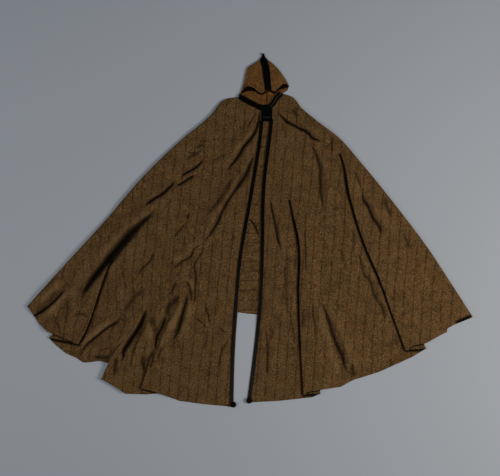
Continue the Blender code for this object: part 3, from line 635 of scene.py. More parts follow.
def from_line(x, y, line):
    """Distance from a line, which side of it a point is on, how far along it, and the
    unit vector to its left."""
    path = curve_through(line, COARSE_STEPS)
    legs = np.diff(path, axis=0)
    nearest = np.full(x.shape, np.inf)
    signed = np.zeros(x.shape)
    run = np.zeros(x.shape)
    leftward = np.zeros(x.shape + (2,))
    passed = 0.0
    for start, leg, step in zip(path, legs, np.linalg.norm(legs, axis=1)):
        way = leg / step
        held = np.clip((x - start[0]) * way[0] + (y - start[1]) * way[1], 0, step)
        off_x = x - start[0] - held * way[0]
        off_y = y - start[1] - held * way[1]
        distance = np.hypot(off_x, off_y)
        closer = distance < nearest
        nearest = np.where(closer, distance, nearest)
        signed = np.where(closer, way[0] * off_y - way[1] * off_x, signed)
        run = np.where(closer, passed + held, run)
        leftward[closer] = (-way[1], way[0])
        passed += step
    return nearest, signed, run / passed, leftward


def crease_marks_at(crease, nearest, signed, share):
    """How far across a crease each point lies, in widths of its core, and how strongly
    the finish draws it there."""
    near, far = np.array(CREASE_GATE) + crease.core
    half = blend(CREASE_END_WIDTH, 1, ends_eased(share, END_TAPER)) * CREASE_FINENESS * crease.core
    drawn = ends_eased(share, CREASE_FADE) * eased((far - nearest) / (far - near))
    return np.sign(signed) * nearest / half, crease.dark * drawn


def far_apart(plan, line):
    """Whether a line lies clear of a stretch of cloth."""
    below = np.min(line, axis=0) - CREASE_REACH > plan.max(axis=(0, 1))
    above = np.max(line, axis=0) + CREASE_REACH < plan.min(axis=(0, 1))
    return bool(below.any() or above.any())


def soft_fold(x, y, fold):
    """Height that one soft fold adds at each point, and how far it leans over there."""
    nearest, signed, share, leftward = from_line(x, y, fold.crest)
    width = np.where(signed > 0, fold.left, fold.right)
    height = fold.height * tapered(share) * bell(nearest, width)
    steeper = np.sign(fold.right - fold.left)
    return height, leftward * (FOLD_LEAN * steeper * height)[..., None]


def smoothed(levels):
    """Levels spread evenly over their neighbours on the grid."""
    for _ in range(LIE_PASSES):
        held = np.pad(levels, 1, mode="edge")
        levels = (held[:-2, 1:-1] + held[2:, 1:-1] + held[1:-1, :-2] + held[1:-1, 2:]
                  + 2 * levels) / 6
    return levels


def crease_sets():
    """The set of each crease, so that creases in one set lie well apart."""
    members = [[] for _ in range(CREASE_SETS)]
    chosen = []
    for crease in CREASES:
        points = along(curve_through(crease.line, SET_STEPS), np.linspace(0, 1, CREASE_SAMPLES))
        room = [min((np.linalg.norm(points[:, None] - other, axis=2).min() for other in others),
                    default=np.inf) for others in members]
        free = [number for number, gap in enumerate(room) if gap > CREASE_CLEARANCE]
        pick = free[0] if free else int(np.argmax(room))
        members[pick].append(points)
        chosen.append(pick)
    return chosen


def ripples(x, y):
    """Small uneven waves over the whole cloth, from smoothed random levels."""
    total = np.zeros(x.shape)
    for number, (wave, height) in enumerate(RIPPLES):
        count = int(RIPPLE_FIELD / wave) + 3
        levels = np.random.default_rng(SEED + number).uniform(-1, 1, (count, count))
        column = (x + RIPPLE_FIELD / 2) / wave
        row = (y + RIPPLE_FIELD / 2) / wave
        i = np.clip(column.astype(int), 0, count - 2)
        j = np.clip(row.astype(int), 0, count - 2)
        s = eased(column - i)
        low = blend(levels[i, j], levels[i + 1, j], s)
        high = blend(levels[i, j + 1], levels[i + 1, j + 1], s)
        total += height * blend(low, high, eased(row - j))
    return total


def front_level(x, y):
    """Level of a front where it lies on the back, or past the back's hem on the ground."""
    past_hem = read_off(HEMS["left back"] + HEMS["right back"][1:], x) - y
    return blend(FRONT_LEVEL, GROUND_LEVEL, eased((past_hem - HEM_DROP_START) / HEM_DROP_LENGTH))


def spread(starts, ends, hem, shares, down):
    """Plan of a panel between two lines, bent more and more to its hem.

    Columns that start or end inside the panel spread wider towards the hem."""
    plan = blend(starts[:, None], ends[:, None], shares[:, None])
    bent = along(np.vstack((starts[-1], hem[1:-1], ends[-1])), shares)
    straight = blend(bent[0], bent[-1], shares[:, None])
    return plan + down[:, None, None] ** 2 * (bent - straight)


def s_fold(pleat, down):
    """Offsets along the fold's direction, and rises, from its low side to its raised side,
    and the length of its middle."""
    upright = (pleat.start + pleat.full) / 2
    growth = max(0.0, (down - upright) / (1 - upright))
    turn = math.pi * float(eased((down - pleat.start) / (pleat.full - pleat.start)))
    turn = max(turn, PLEAT_STRAIGHT)
    crowding = blend(PLEAT_NARROW, 1, min(1.0, down / PLEAT_NARROW_TO))
    radius = pleat.radius * max(1.0, crowding * PLEAT_LEAST_TURN / turn)
    reach = math.hypot(*pleat.overlap) * growth - 2 * pleat.radius
    middle = max(reach, PLEAT_LEAST_MIDDLE * crowding)
    high_end = radius * math.sin(min(turn, math.pi / 2))
    low_start = high_end - 2 * radius * math.sin(turn) - middle * math.cos(turn)
    rise = 2 * radius * (1 - math.cos(turn)) + middle * math.sin(turn)
    angles = np.linspace(0, turn, PLEAT_ARC_CELLS + 1)
    arc = radius * np.column_stack((np.sin(angles), 1 - np.cos(angles)))
    low_bend = np.array((low_start, 0)) + arc
    high_bend = np.array((high_end, rise)) - arc[::-1]
    shares = np.linspace(0, 1, PLEAT_MIDDLE_CELLS + 1)[1:-1, None]
    return np.vstack((low_bend, blend(low_bend[-1], high_bend[0], shares), high_bend)), middle


def pleat_columns(pleat, line, down):
    """Plan and rise of one S-fold on every row, and how far it lies over."""
    folds = [s_fold(pleat, share) for share in down]
    offsets = np.array([offset for offset, _ in folds])
    if pleat.raised_first:
        offsets = offsets[:, ::-1]
    plan = line[:, None] + offsets[:, :, :1] * unit(np.array(pleat.overlap, dtype=float))
    return plan, offsets[:, :, 1], np.array([middle for _, middle in folds]) + 2 * pleat.radius


def raised_at(name, column):
    """Whether a pleat's first column, 0, or its last, -1, is on its raised side."""
    return PLEATS[name].raised_first == (column == 0)


def settle(plan, end):
    """Lift that what raises one end of a panel gives it, from the panel's first column."""
    distance = run_of(plan)
    hold = np.reshape(end.hold, (-1, 1))
    ease_length = np.minimum(end.settles, np.maximum(distance[:, -1:] - hold, 1.0))
    return np.reshape(end.lift, (-1, 1)) * (1 - eased((distance - hold) / ease_length))


def side_sign(name):
    """1 on the left and -1 on the right, by the start of a name."""
    return 1 if name.startswith("left") else -1


def outward(line, sign):
    """Unit vectors square to a side line, pointing away from the cloak."""
    tangent = unit(np.gradient(line, axis=0))
    return np.column_stack((tangent[:, 1], -tangent[:, 0])) * sign


def side_bend(centre, away, radius, half, angles):
    """Plan and height of the bend from an upper to a lower layer, half an upright ellipse."""
    plan = centre[:, None] + (away * radius[:, None])[:, None] * np.sin(angles)[:, None]
    return plan, GROUND_LEVEL + half[:, None] * (1 + np.cos(angles))


def half_turn():
    """Angles of the columns of a side bend, from its top."""
    return np.linspace(0, math.pi, BEND_CELLS + 1)[1:-1]


def rows_down(rows):
    """How far down each row lies, closer together towards the hem."""
    even = np.linspace(0, 1, rows)
    return even * (1 + ROW_CROWDING - ROW_CROWDING * even)


def distance_across(x, y, edge):
    """Distance across the cloak from a line."""
    return np.abs(x - read_off(edge[:, ::-1], y))


def blank_marks(plan, cover=NO_COVER):
    """Marks of a stretch of cloth with no creases."""
    marks = np.zeros(plan.shape[:2] + (len(MARK_NAMES),))
    marks[:, :, 0] = cover
    return marks


# One end of a panel: its points, what it is lifted by, how far that lift holds and over what
# length it settles
End = namedtuple("End", "points lift hold settles", defaults=(0.0, 0.0, 1.0))


class Body:
    """The middle surface of a stretch of the body, gathered column by column."""

    def __init__(self, down):
        self.down = down
        self.plans = []
        self.heights = []
        self.marks = []
        self.sets = crease_sets()
        self.lines = {name: along(curve_through(points), down)
                      for name, points in LINES.items()}
        self.pleats = {name: pleat_columns(pleat, self.lines[name], down)
                       for name, pleat in PLEATS.items()}
        self.radius = blend(SIDE_RADIUS_AT_NECK, SIDE_RADIUS, eased(down / SIDE_GROWN))

    def add(self, plan, heights, marks):
        self.plans.append(plan)
        self.heights.append(heights)
        self.marks.append(marks)

    def columns(self):
        return sum(plan.shape[1] for plan in self.plans)

    def gathered(self):
        """Its points as a grid, and their marks."""
        plan, heights, marks = (np.concatenate(parts, axis=1)
                                for parts in (self.plans, self.heights, self.marks))
        return np.dstack((plan, heights)), marks

    def add_front(self, plan, lift, cover):
        """Front cloth over its plan, with the soft folds, creases and ripples on it."""
        x, y = plan.transpose(2, 0, 1)
        level = front_level(x, y) + lift
        inset = np.minimum(distance_across(x, y, self.lines["left edge"]),
                           distance_across(x, y, self.lines["right edge"]))
        calm = eased(inset / FOLD_EDGE_FADE) * eased(self.down / FOLDS_FULL)[:, None]
        calm = calm * self.pleat_calm(x, y)
        relief = PUFF * eased(inset / PUFF_EDGE) + ripples(x, y) * blend(RIPPLE_LEAST, 1, calm)
        moved = np.zeros(plan.shape)
        for fold in FOLDS:
            height, lean = soft_fold(x, y, fold)
            relief += calm * height
            moved += calm[:, :, None] * lean
        plan = plan + moved
        marks = blank_marks(plan, cover)
        for crease, number in zip(CREASES, self.sets):
            if far_apart(plan, crease.line):
                continue
            nearest, signed, share, _ = from_line(*plan.transpose(2, 0, 1), crease.line)
            width = CREASE_WIDTH[0] * crease.core + CREASE_WIDTH[1]
            depth = CREASE_DEPTH * crease.core * crease.dark
            relief -= depth * tapered(share) * bell(nearest, width)
            drawn = np.dstack(crease_marks_at(crease, nearest, signed, share))
            own = marks[:, :, 2 * number + 2:2 * number + 4]
            stronger = drawn[:, :, 1] > own[:, :, 1]
            own[stronger] = drawn[stronger]
        # How far each point stands off the cloth around it, for painted highlight on ridges and painted
        # shade in lows
        marks[:, :, 1] = relief - smoothed(relief)
        relief = np.maximum(relief, 0.0) * eased(self.down / RELIEF_FULL)[:, None]
        self.add(plan, level + relief, marks)

    def begun(self, pleat):
        """How far a pleat has begun on each row."""
        return eased((self.down - pleat.start) / PLEAT_BEGIN)[:, None]

    def pleat_calm(self, x, y):
        """How far the soft folds die away where a pleat lies over."""
        calm = 1.0
        for name, pleat in PLEATS.items():
            middle = self.lines[name] + np.array(pleat.overlap) / 2 * self.down[:, None]
            near = bell(distance_across(x, y, middle), PLEAT_CALM_REACH)
            calm = calm * (1 - PLEAT_CALM * self.begun(pleat) * near)
        return calm

    def once_begun(self, pleat, past):
        """Distances past a covering layer, far from it where its pleat hasn't begun."""
        past = np.maximum(past, -NO_COVER) + 2 * NO_COVER * (1 - self.begun(pleat))
        return np.clip(past, -NO_COVER, NO_COVER)

    def cover(self, name, plan):
        """Distance past the edge and the hem of the layer that a pleat lays over its plan,
        less than nothing where that layer hides it."""
        pleat = PLEATS[name]
        line = self.lines[name]
        past_edge = read_off(line[:, ::-1], plan[:, :, 1]) - plan[:, :, 0]
        past_edge *= math.copysign(COVER_ACROSS, pleat.overlap[0])
        past_hem = read_off((line[-1], line[-1] + pleat.overlap), plan[:, :, 0]) - plan[:, :, 1]
        past_hem = past_hem * COVER_PAST_HEM - HEM_SHADE + max(pleat.held_back, 0)
        near_hem = eased((self.down - HELD_BACK_FROM) / HELD_BACK_OVER)[:, None]
        held_back = blend(pleat.held_back, pleat.held_back_at_hem, near_hem)
        return self.once_begun(pleat, np.maximum(past_edge + held_back, past_hem))

    def add_panel(self, hem, start, end, under):
        """A panel of a front, settling from what lifts it at each end."""
        shares = np.linspace(0, 1, PANEL_CELLS[hem] + 1)
        plan = spread(start.points, end.points, HEMS[hem], shares, self.down)
        lift = settle(plan, start) + settle(plan[:, ::-1], end)[:, ::-1]
        cover = NO_COVER
        for name in under:
            cover = np.minimum(cover, self.cover(name, plan))
        self.add_front(plan, lift, cover)

    def add_pleat(self, name, over):
        """The bends and the hidden middle of an S-fold, under the panel with that hem."""
        pleat = PLEATS[name]
        plan, rise, _ = self.pleats[name]
        plan = plan[:, 1:-1]
        below = read_off(HEMS[over], plan[:, :, 0]) - plan[:, :, 1]
        above = np.linalg.norm(plan - plan[-1:], axis=2)
        past = np.minimum(below * COVER_HIDDEN - COVER_HIDDEN_START, above * COVER_HIDDEN_UP)
        past = np.maximum(past, -NO_COVER) + max(pleat.held_back, 0)
        cover = self.once_begun(pleat, past)
        if pleat.raised_first:
            cover[:, :PLEAT_ARC_CELLS] = NO_COVER
        else:
            cover[:, -PLEAT_ARC_CELLS:] = NO_COVER
        self.add_front(plan, rise[:, 1:-1], cover)

    def add_fronts(self, chain):
        """The panels of a front, each between the lines before and after it, and the pleats."""
        for number in range(1, len(chain), 2):
            before, panel, after = chain[number - 1:number + 2]
            under = [name for name, column in ((before, -1), (after, 0))
                     if name in PLEATS and not raised_at(name, column)]
            self.add_panel(panel, self.end(before, -1), self.end(after, 0), under)
            if after in PLEATS:
                self.add_pleat(after, panel if raised_at(after, 0) else chain[number + 2])

    def end(self, name, column=0):
        """What a panel meets at a line: a side bend, an open edge, or a pleat's column."""
        if name.endswith("side"):
            away = outward(self.lines[name], side_sign(name))
            points = self.lines[name] - away * (self.radius + HALF_WALL)[:, None]
            return End(points, GROUND_LEVEL + 2 * self.radius - FRONT_LEVEL, WALL, SIDE_SETTLE)
        if name not in PLEATS:
            return End(self.lines[name])
        plan, rise, reach = self.pleats[name]
        if raised_at(name, column):
            return End(plan[:, column], rise[:, column], reach + WALL, PLEAT_SETTLE)
        return End(plan[:, column])

    def add_bend(self, name, top, angles):
        """The bend between a front, whose level is top, and the back."""
        away = outward(self.lines[name], side_sign(name))
        plan, heights = side_bend(self.end(name).points, away, self.radius,
                                  (top - GROUND_LEVEL) / 2, angles)
        self.add(plan, heights, blank_marks(plan))

    def add_back(self, hem, shares):
        """A stretch of the back, flat on the ground."""
        start, end = (self.end(name).points for name in BACK_LINES[hem])
        plan = spread(start, end, HEMS[hem], shares, self.down)
        x, y = plan.transpose(2, 0, 1)
        in_gap = bell(x, GAP_WIDTH) * eased((GAP_TOP - y) / GAP_FADE)
        waves = np.maximum(BACK_RIPPLE * ripples(x, y) + BACK_PUFF, 0) * in_gap
        nearest, signed, share, _ = from_line(x, y, BACK_CREASE.line)
        waves += BACK_CREASE_RISE * tapered(share) * bell(nearest, BACK_CREASE_WIDTH)
        marks = blank_marks(plan)
        marks[:, :, 2:4] = np.dstack(crease_marks_at(BACK_CREASE, nearest, signed, share))
        self.add(plan, GROUND_LEVEL + waves, marks)


def cloak_halves():
    """Points, flat cut and marks of the body in two stretches, which overlap on the
    hidden part of the back, the more the nearer the hem."""
    left = Body(rows_down(ROWS))
    left.add_fronts(FRONTS["left"])
    left.add_bend("left side", left.heights[-1][:, -1], half_turn())
    left_front = left.columns()
    left.add_back("left back", LEFT_BACK_COLUMNS)
    left.add_back("right back", RIGHT_BACK_COLUMNS)
    front = Body(left.down)
    front.add_fronts(FRONTS["right"])
    right = Body(left.down)
    right.add_back("right back", HIDDEN_BACK_COLUMNS)
    back_columns = right.columns()
    right.add_bend("right side", front.heights[0][:, 0], half_turn()[::-1])
    right.plans += front.plans
    right.heights += front.heights
    right.marks += front.marks
    left_grid, left_marks = left.gathered()
    grid, marks = right.gathered()
    flat = flat_cut(grid[:, ::-1], right.columns() - back_columns)[:, ::-1] * (-1, 1)
    return (left_grid, flat_cut(left_grid, left_front), left_marks), (grid, flat, marks)


def flat_cut(grid, front_columns):
    """How far each point lies along and across the front edge, or the middle of the back.

    Slopes count at full length, and a fold's hidden layers repeat the layer over them."""
    edge = grid[:, 0, :2]
    way = unit(edge[-1] - edge[0])
    away = grid[:, :, :2] - edge[0]
    taken_up = run_of(grid) - run_of(grid[:, :, :2])
    across = np.abs(away @ np.array((-way[1], way[0]))) + taken_up
    flat = np.dstack((-(away @ way), across))
    flat[:, front_columns:, 0] = grid[:, front_columns:, 0]
    flat[:, front_columns:, 1] = LINES["centre back"][0][1] - grid[:, front_columns:, 1]
    return flat


def grid_normals(grid):
    """Unit normals at the points of a grid, from the faces that meet there."""
    across = np.diff(grid, axis=1)
    down = np.diff(grid, axis=0)
    face = unit(np.cross(across[:-1] + across[1:], down[:, :-1] + down[:, 1:]))
    normals = np.zeros_like(grid)
    for rows in (slice(None, -1), slice(1, None)):
        for columns in (slice(None, -1), slice(1, None)):
            normals[rows, columns] += face
    return unit(normals)


def rim_of(index):
    """Numbers of the points round a grid, and of the point inside next to each."""
    rim = np.concatenate((index[0, :-1], index[:-1, -1], index[-1, :0:-1], index[:0:-1, 0]))
    inside = np.concatenate((index[1, :-1], index[:-1, -2], index[-2, :0:-1], index[:0:-1, 1]))
    return rim, inside


def cells_of(index):
    """Numbers of the corners of each cell of a grid, in order round the cell."""
    return (index[:-1, :-1].ravel(), index[:-1, 1:].ravel(),
            index[1:, 1:].ravel(), index[1:, :-1].ravel())


def joined(parts):
    """Points and faces of several meshes as one."""
    faces = []
    passed = 0
    for points, own_faces in parts:
        faces += [[corner + passed for corner in face] for face in own_faces]
        passed += len(points)
    return np.vstack([points for points, _ in parts]), faces


def placed(name, data, place=(0, 0, 0)):
    """An object in the scene."""
    thing = bpy.data.objects.new(name, data)
    thing.location = place
    bpy.context.scene.collection.objects.link(thing)
    return thing


def finish_mesh(name, parts, material):
    """A named object from the points, in millimetres, and the faces of its parts."""
    points, faces = joined(parts)
    points[:, :2] -= CENTRE
    mesh = bpy.data.meshes.new(name)
    mesh.from_pydata((points * MM).tolist(), [], faces)
    mesh.update()
    mesh.shade_smooth()
    mesh.set_sharp_from_angle(angle=math.radians(SHARP_ANGLE))
    mesh.materials.append(material)
    return placed(name, mesh)


def point_values(thing, name, values):
    """A number at each point of a mesh, for its material to read."""
    attribute = thing.data.attributes.new(name, "FLOAT", "POINT")
    attribute.data.foreach_set("value", values.astype(np.float32))


def point_map(thing, name, flat):
    """A UV map, in metres on the flat cloth, from a pair of values at each point."""
    layer = thing.data.uv_layers.new(name=name)
    corners = np.zeros(len(thing.data.loops), dtype=np.int32)
    thing.data.loops.foreach_get("vertex_index", corners)
    layer.data.foreach_set("uv", (flat[corners] * MM).astype(np.float32).ravel())


def cloth(name, grid, flat, marks, extra, mark_names, material):
    """A wall of cloth around a grid of points, with rounded edges."""
    normals = grid_normals(grid)
    outer = (grid + normals * (HALF_WALL + extra[:, :, None])).reshape(-1, 3)
    inner = (grid - normals * HALF_WALL).reshape(-1, 3)
    for layer in (outer, inner):
        layer[:, 2] = np.maximum(layer[:, 2], 0.0)
    under = len(outer)
    index = np.arange(under).reshape(grid.shape[:2])
    rim, inside = rim_of(index)
    middle = (outer[rim] + inner[rim]) / 2
    edge = middle + unit(middle - (outer[inside] + inner[inside]) / 2) * EDGE_ROUND
    edge[:, 2] = np.maximum(edge[:, 2], 0.0)
    a, b, c, d = cells_of(index)
    points = grid.reshape(-1, 3)
    falling = (np.linalg.norm(points[c] - points[a], axis=1)
               < np.linalg.norm(points[d] - points[b], axis=1))
    top = np.vstack((np.column_stack((a, b, np.where(falling, c, d))),
                     np.column_stack((np.where(falling, a, b), c, d))))
    there = np.roll(rim, -1)
    low = 2 * under + np.arange(len(rim))
    low_next = np.roll(low, -1)
    sides = np.column_stack((there, rim, low, low_next, low_next, low, under + rim, under + there))
    faces = top.tolist() + (top[:, ::-1] + under).tolist() + sides.reshape(-1, 4).tolist()
    thing = finish_mesh(name, [(np.vstack((outer, inner, edge)), faces)], material)
    everywhere = np.concatenate((index.ravel(), index.ravel(), rim))
    point_map(thing, "flat", flat.reshape(-1, 2)[everywhere])
    for number, key in enumerate(mark_names):
        point_values(thing, key, marks[:, :, number].ravel()[everywhere])
    return thing


def hem_extra(grid):
    """Extra thickness where the hem is turned under."""
    from_hem = run_of(grid[::-1].swapaxes(0, 1)).T[::-1]
    return HEM_EXTRA * eased((HEM_TURNED - from_hem) / HEM_STEP + 0.5)


def slab(top, low):
    """Points and faces between an upper and a lower grid of points."""
    index = np.arange(top.shape[0] * top.shape[1]).reshape(top.shape[:2])
    a, b, c, d = cells_of(index)
    rim, _ = rim_of(index)
    there = np.roll(rim, -1)
    faces = np.vstack((np.column_stack((a, d, c, b)),
                       np.column_stack((a, b, c, d)) + index.size,
                       np.column_stack((rim, there, there + index.size, rim + index.size))))
    return np.vstack((top.reshape(-1, 3), low.reshape(-1, 3))), faces.tolist()


def tube(path, ups, side_radius, up_radius, sides, closed=False):
    """Points and faces of a tube with an oval section, its short way along ups."""
    count = len(path)
    if closed:
        tangent = unit(np.roll(path, -1, axis=0) - np.roll(path, 1, axis=0))
    else:
        tangent = unit(np.gradient(path, axis=0))
    side = unit(np.cross(ups, tangent))
    turn = 2 * math.pi * np.arange(sides) / sides
    across = np.broadcast_to(side_radius, count)[:, None] * np.cos(turn)
    rise = np.broadcast_to(up_radius, count)[:, None] * np.sin(turn)
    points = (path[:, None] + side[:, None] * across[:, :, None]
              + np.cross(tangent, side)[:, None] * rise[:, :, None])
    index = np.arange(count * sides).reshape(count, sides)
    index = np.hstack((index, index[:, :1]))
    if closed:
        index = np.vstack((index, index[:1]))
    faces = np.column_stack(cells_of(index)).tolist()
    if not closed:
        faces += [index[0, sides - 1::-1].tolist(), index[-1, :sides].tolist()]
    return points.reshape(-1, 3), faces


def plait(path, kind):
    """Strands that pass over and under each other along a path on the cloth."""
    curve = curve_through(path)
    length = run_of(curve)[-1]
    count = int(length / kind.step)
    base = along(curve, np.linspace(0, 1, count))
    side = unit(np.cross(UP, unit(np.gradient(base, axis=0))))
    radius = kind.width / (kind.strands + 1) * STRAND_WIDTH
    up_radius = kind.thick * STRAND_THICK
    turn = 2 * math.pi * np.linspace(0, length / kind.pitch, count)[:, None]
    parts = []
    for number in range(kind.strands):
        phase = turn + 2 * math.pi * number / kind.strands
        sway = (kind.width / 2 - radius) * np.sin(phase)
        rise = (kind.thick / 2 - up_radius) * np.sin((kind.strands - 1) * phase)
        centre = base + side * sway + UP * (kind.thick / 2 + rise)
        parts.append(tube(centre, UP, radius, up_radius, STRAND_SIDES))
    return parts


def woven_knot(centre, foot, knot):
    """A ball of one cord that runs over and under itself, and the smooth core in it."""
    turn = 2 * math.pi * np.arange(KNOT_POINTS) / KNOT_POINTS
    around = turn * KNOT_LEADS
    tilt = KNOT_TILT * np.cos(turn * knot.bights)
    weave = 1 + KNOT_WEAVE * np.sin(turn * knot.bights * KNOT_LEADS * 2)
    reach = (knot.radius - knot.cord) * weave
    flatness = (knot.height / 2 - knot.cord) / (knot.radius - knot.cord)
    from_middle = np.column_stack((reach * np.cos(tilt) * np.cos(around),
                                   reach * np.cos(tilt) * np.sin(around),
                                   reach * np.sin(tilt) * flatness))
    path = from_middle + np.array((*centre, foot + knot.height / 2))
    cord = tube(path, from_middle, knot.cord, knot.cord * KNOT_CORD_FLAT, KNOT_CORD_SIDES, True)
    angles = math.pi * np.linspace(CORE_POLE, 1 - CORE_POLE, CORE_RINGS)
    rise = knot.core_rise + knot.core_height / 2 * (1 - np.cos(angles))
    axis = np.array((*centre, foot)) + UP * rise[:, None]
    core_radius = knot.core_radius * np.sin(angles)
    return [cord, tube(axis, (0, 1, 0), core_radius, core_radius, CORE_SIDES)]


def front_braid(side, grid):
    """The braid along a front edge, on top of the cloth, from the clasp to the hem knot."""
    edge, inner = (grid[:, column] for column in BRAID_COLUMNS[side])
    across = unit((inner - edge) * (1, 1, 0))
    path = edge + across * (BRAID_INSET + FRONT_PLAIT.width / 2)
    path[:, 2] = edge[:, 2] + HALF_WALL + SEAM_GAP
    foot = HEM_KNOT_CENTRES[side][1] + HEM_KNOT.radius * BRAID_INTO_KNOT
    path = path[(path[:, 1] < CLASP_FOOT + BRAID_UNDER_CLASP) & (path[:, 1] > foot)]
    rows = np.linspace(0, len(path) - 1, len(path) // BRAID_EVERY).astype(int)
    return plait(path[rows], FRONT_PLAIT)


def neck_braid(side):
    """Two plaited cords side by side along one side of the neck."""
    kind = NECK_PLAITS[side]
    middle = curve_through(NECK_LINES[side])
    across = np.cross(unit(np.gradient(middle, axis=0) * (1, 1, 0)), UP)
    apart = across * (kind.width - NECK_PLAIT_OVERLAP) / 2
    return plait(middle - apart, kind) + plait(middle + apart, kind)


def piping():
    """A thin cord between the two plaited cords of the right neck braid, pale grey as a painted highlight.
    """
    path = curve_through(NECK_LINES["right"]) + UP * PIPING_LEVEL
    return [tube(path, UP, PIPING_RADIUS, PIPING_RADIUS, PIPING_SIDES)]


def tip_cap():
    """Dark binding wrapped round the hood's tip, under the knot."""
    x, y, half_width, half_height = along(curve_through(TIP_CAP),
                                          np.linspace(0, 1, TIP_CAP_RINGS)).T
    path = np.column_stack((x, y, half_height + TIP_CAP_OFF_GROUND))
    return [tube(path, UP, half_width, half_height, TIP_CAP_SIDES)]


def clasp_band():
    """The clasp's band: softly padded, with a rib above its foot and a rolled foot."""
    rows, columns = CLASP_CELLS
    ways = np.linspace(-1, 1, columns)
    y = np.linspace(CLASP_TOP, CLASP_FOOT + 1, rows)
    up = y - CLASP_FOOT
    crown = CLASP_CROWN + sum(height * bell(up - place, half)
                              for height, place, half in CLASP_RIDGES)
    crown *= blend(CLASP_FOOT_SHARE, 1, eased(up / CLASP_FOOT_EASE))
    thick = crown[:, None] * (1 - CLASP_SIDE_FALL * np.abs(ways) ** 4)
    x, y = np.meshgrid(CLASP_MIDDLE + (CLASP_WIDTH - CLASP_PLAIT.width) / 2 * ways, y)
    low = np.dstack((x, y, np.full(x.shape, CLASP_LEVEL)))
    return [slab(low + UP * thick[:, :, None], low)]


def clasp_rib():
    """A thin cord across the clasp, above its rolled foot, grey as a painted highlight."""
    x = np.linspace(RIB_FROM, RIB_TO, RIB_POINTS)
    off_middle = (x - x.mean()) / RIB_HALF
    path = np.column_stack((x, CLASP_FOOT + RIB_PLACE + RIB_BOW * off_middle ** 2,
                            RIB_LEVEL - RIB_FALL * off_middle ** 4))
    return [tube(path, UP, *RIB_SIZE, RIB_SIDES)]


def clasp_plaits():
    """The two plaits that edge the clasp."""
    parts = []
    for sign in (-1, 1):
        x = CLASP_MIDDLE + sign * (CLASP_WIDTH - CLASP_PLAIT.width) / 2
        parts += plait(((x, CLASP_TOP, CLASP_LEVEL), (x, CLASP_FOOT + 1, CLASP_LEVEL)), CLASP_PLAIT)
    return parts


def hood_half(side, material):
    """One half of the hood, from the crown seam round its fold to the back seam, and the
    points of its middle surface."""
    sign = side_sign(side)
    down = np.linspace(0, 1, HOOD_ROWS)
    shift = np.array((-sign * SEAM_GAP / 2, 0))
    crown = along(curve_through(HOOD_CROWN_SEAM), down) + shift
    back = along(curve_through(HOOD_BACK_SEAM), down) + shift
    outline = along(curve_through(HOOD_SIDE[side]), down)
    radius = blend(HOOD_RADIUS_AT_END, HOOD_RADIUS, ends_eased(down, HOOD_RADIUS_TAPER))
    away = outward(outline, sign)
    centre = outline - away * (radius + HALF_WALL)[:, None]
    shares = np.linspace(0, 1, HOOD_UPPER_CELLS + 1)
    upper = spread(crown, centre, HOOD_LIP[side], shares, down)
    lower = spread(centre, back, HOOD_NECK[side], np.linspace(0, 1, HOOD_LOWER_CELLS + 1), down)
    bend, bend_height = side_bend(centre, away, radius, radius, half_turn())
    swell = HOOD_CROWN * down[:, None] ** HOOD_CROWN_GROWTH
    waves = ripples(*(upper * HOOD_RIPPLE_FINENESS).transpose(2, 0, 1))
    upper_height = (GROUND_LEVEL + 2 * radius[:, None]
                    + swell * eased((1 - shares) * HOOD_CROWN_FALL)
                    + waves * ends_eased(shares, HOOD_CALM) * eased(down / HOOD_CALM)[:, None])
    plan = np.concatenate((upper, bend, lower), axis=1)
    height = np.concatenate((upper_height, bend_height,
                             np.full(lower.shape[:2], GROUND_LEVEL)), axis=1)
    grid = np.dstack((plan, height))
    extra = hem_extra(grid)
    extra[:, HOOD_UPPER_CELLS + 1:] = 0
    fields = (field[:, ::sign] for field in (grid, plan, hood_marks(side, plan), extra))
    return cloth("hood_" + side + "_cloth", *fields, HOOD_MARK_NAMES, material), grid


def hood_marks(side, plan):
    """On the hood's lower layer: distance below the dark hollow of the mouth, less than
    nothing inside it, and distance from the back seam or the faint line beside it."""
    x, y = plan.transpose(2, 0, 1)
    below = np.clip(read_off(curve_through(HOOD_HOLLOW[side]), x) - y, -NO_COVER, NO_COVER)
    from_seam = np.linalg.norm(plan - plan[:, -1:], axis=2)
    past_end = np.maximum(np.abs(y - BESIDE_SEAM_MIDDLE) - BESIDE_SEAM_HALF, 0)
    beside = np.abs(x - read_off(BESIDE_SEAM, y)) + BESIDE_SEAM_FAINTER + past_end
    marks = np.dstack((below, np.minimum(np.minimum(from_seam, NO_COVER), beside)))
    marks[:, :HOOD_UPPER_CELLS + BEND_CELLS // 2 + 1] = NO_COVER
    above_cap_foot = np.maximum(TIP_CAP_FOOT + HOOD_HOLLOW_FADE - y, 0)
    marks[:, :, 0] = np.minimum(marks[:, :, 0], above_cap_foot)
    return marks


def hood_tape(grids):
    """The tape over the crown seam, moved out from the cloth beside it."""
    shares = np.linspace(0, 1, TAPE_CELLS)
    rings = []
    for row in range(TAPE_FIRST_ROW, HOOD_ROWS):
        ring = []
        for grid, ways in zip(grids, (shares[::-1], shares)):
            line = grid[row, :HOOD_UPPER_CELLS + 1]
            length = run_of(line)[-1]
            ring.append(along(line, ways * min(TAPE_WIDTH / 2 / length, TAPE_MOST)))
        rings.append(np.vstack(ring))
    low = np.array(rings) + UP * (HALF_WALL + SEAM_GAP)
    out = np.abs(np.linspace(-1, 1, 2 * TAPE_CELLS))
    thick = TAPE_THICK + TAPE_EDGE * eased((out - TAPE_EDGE_FROM) / TAPE_EDGE_OVER)
    return [slab(low + UP * thick[:, None], low)]


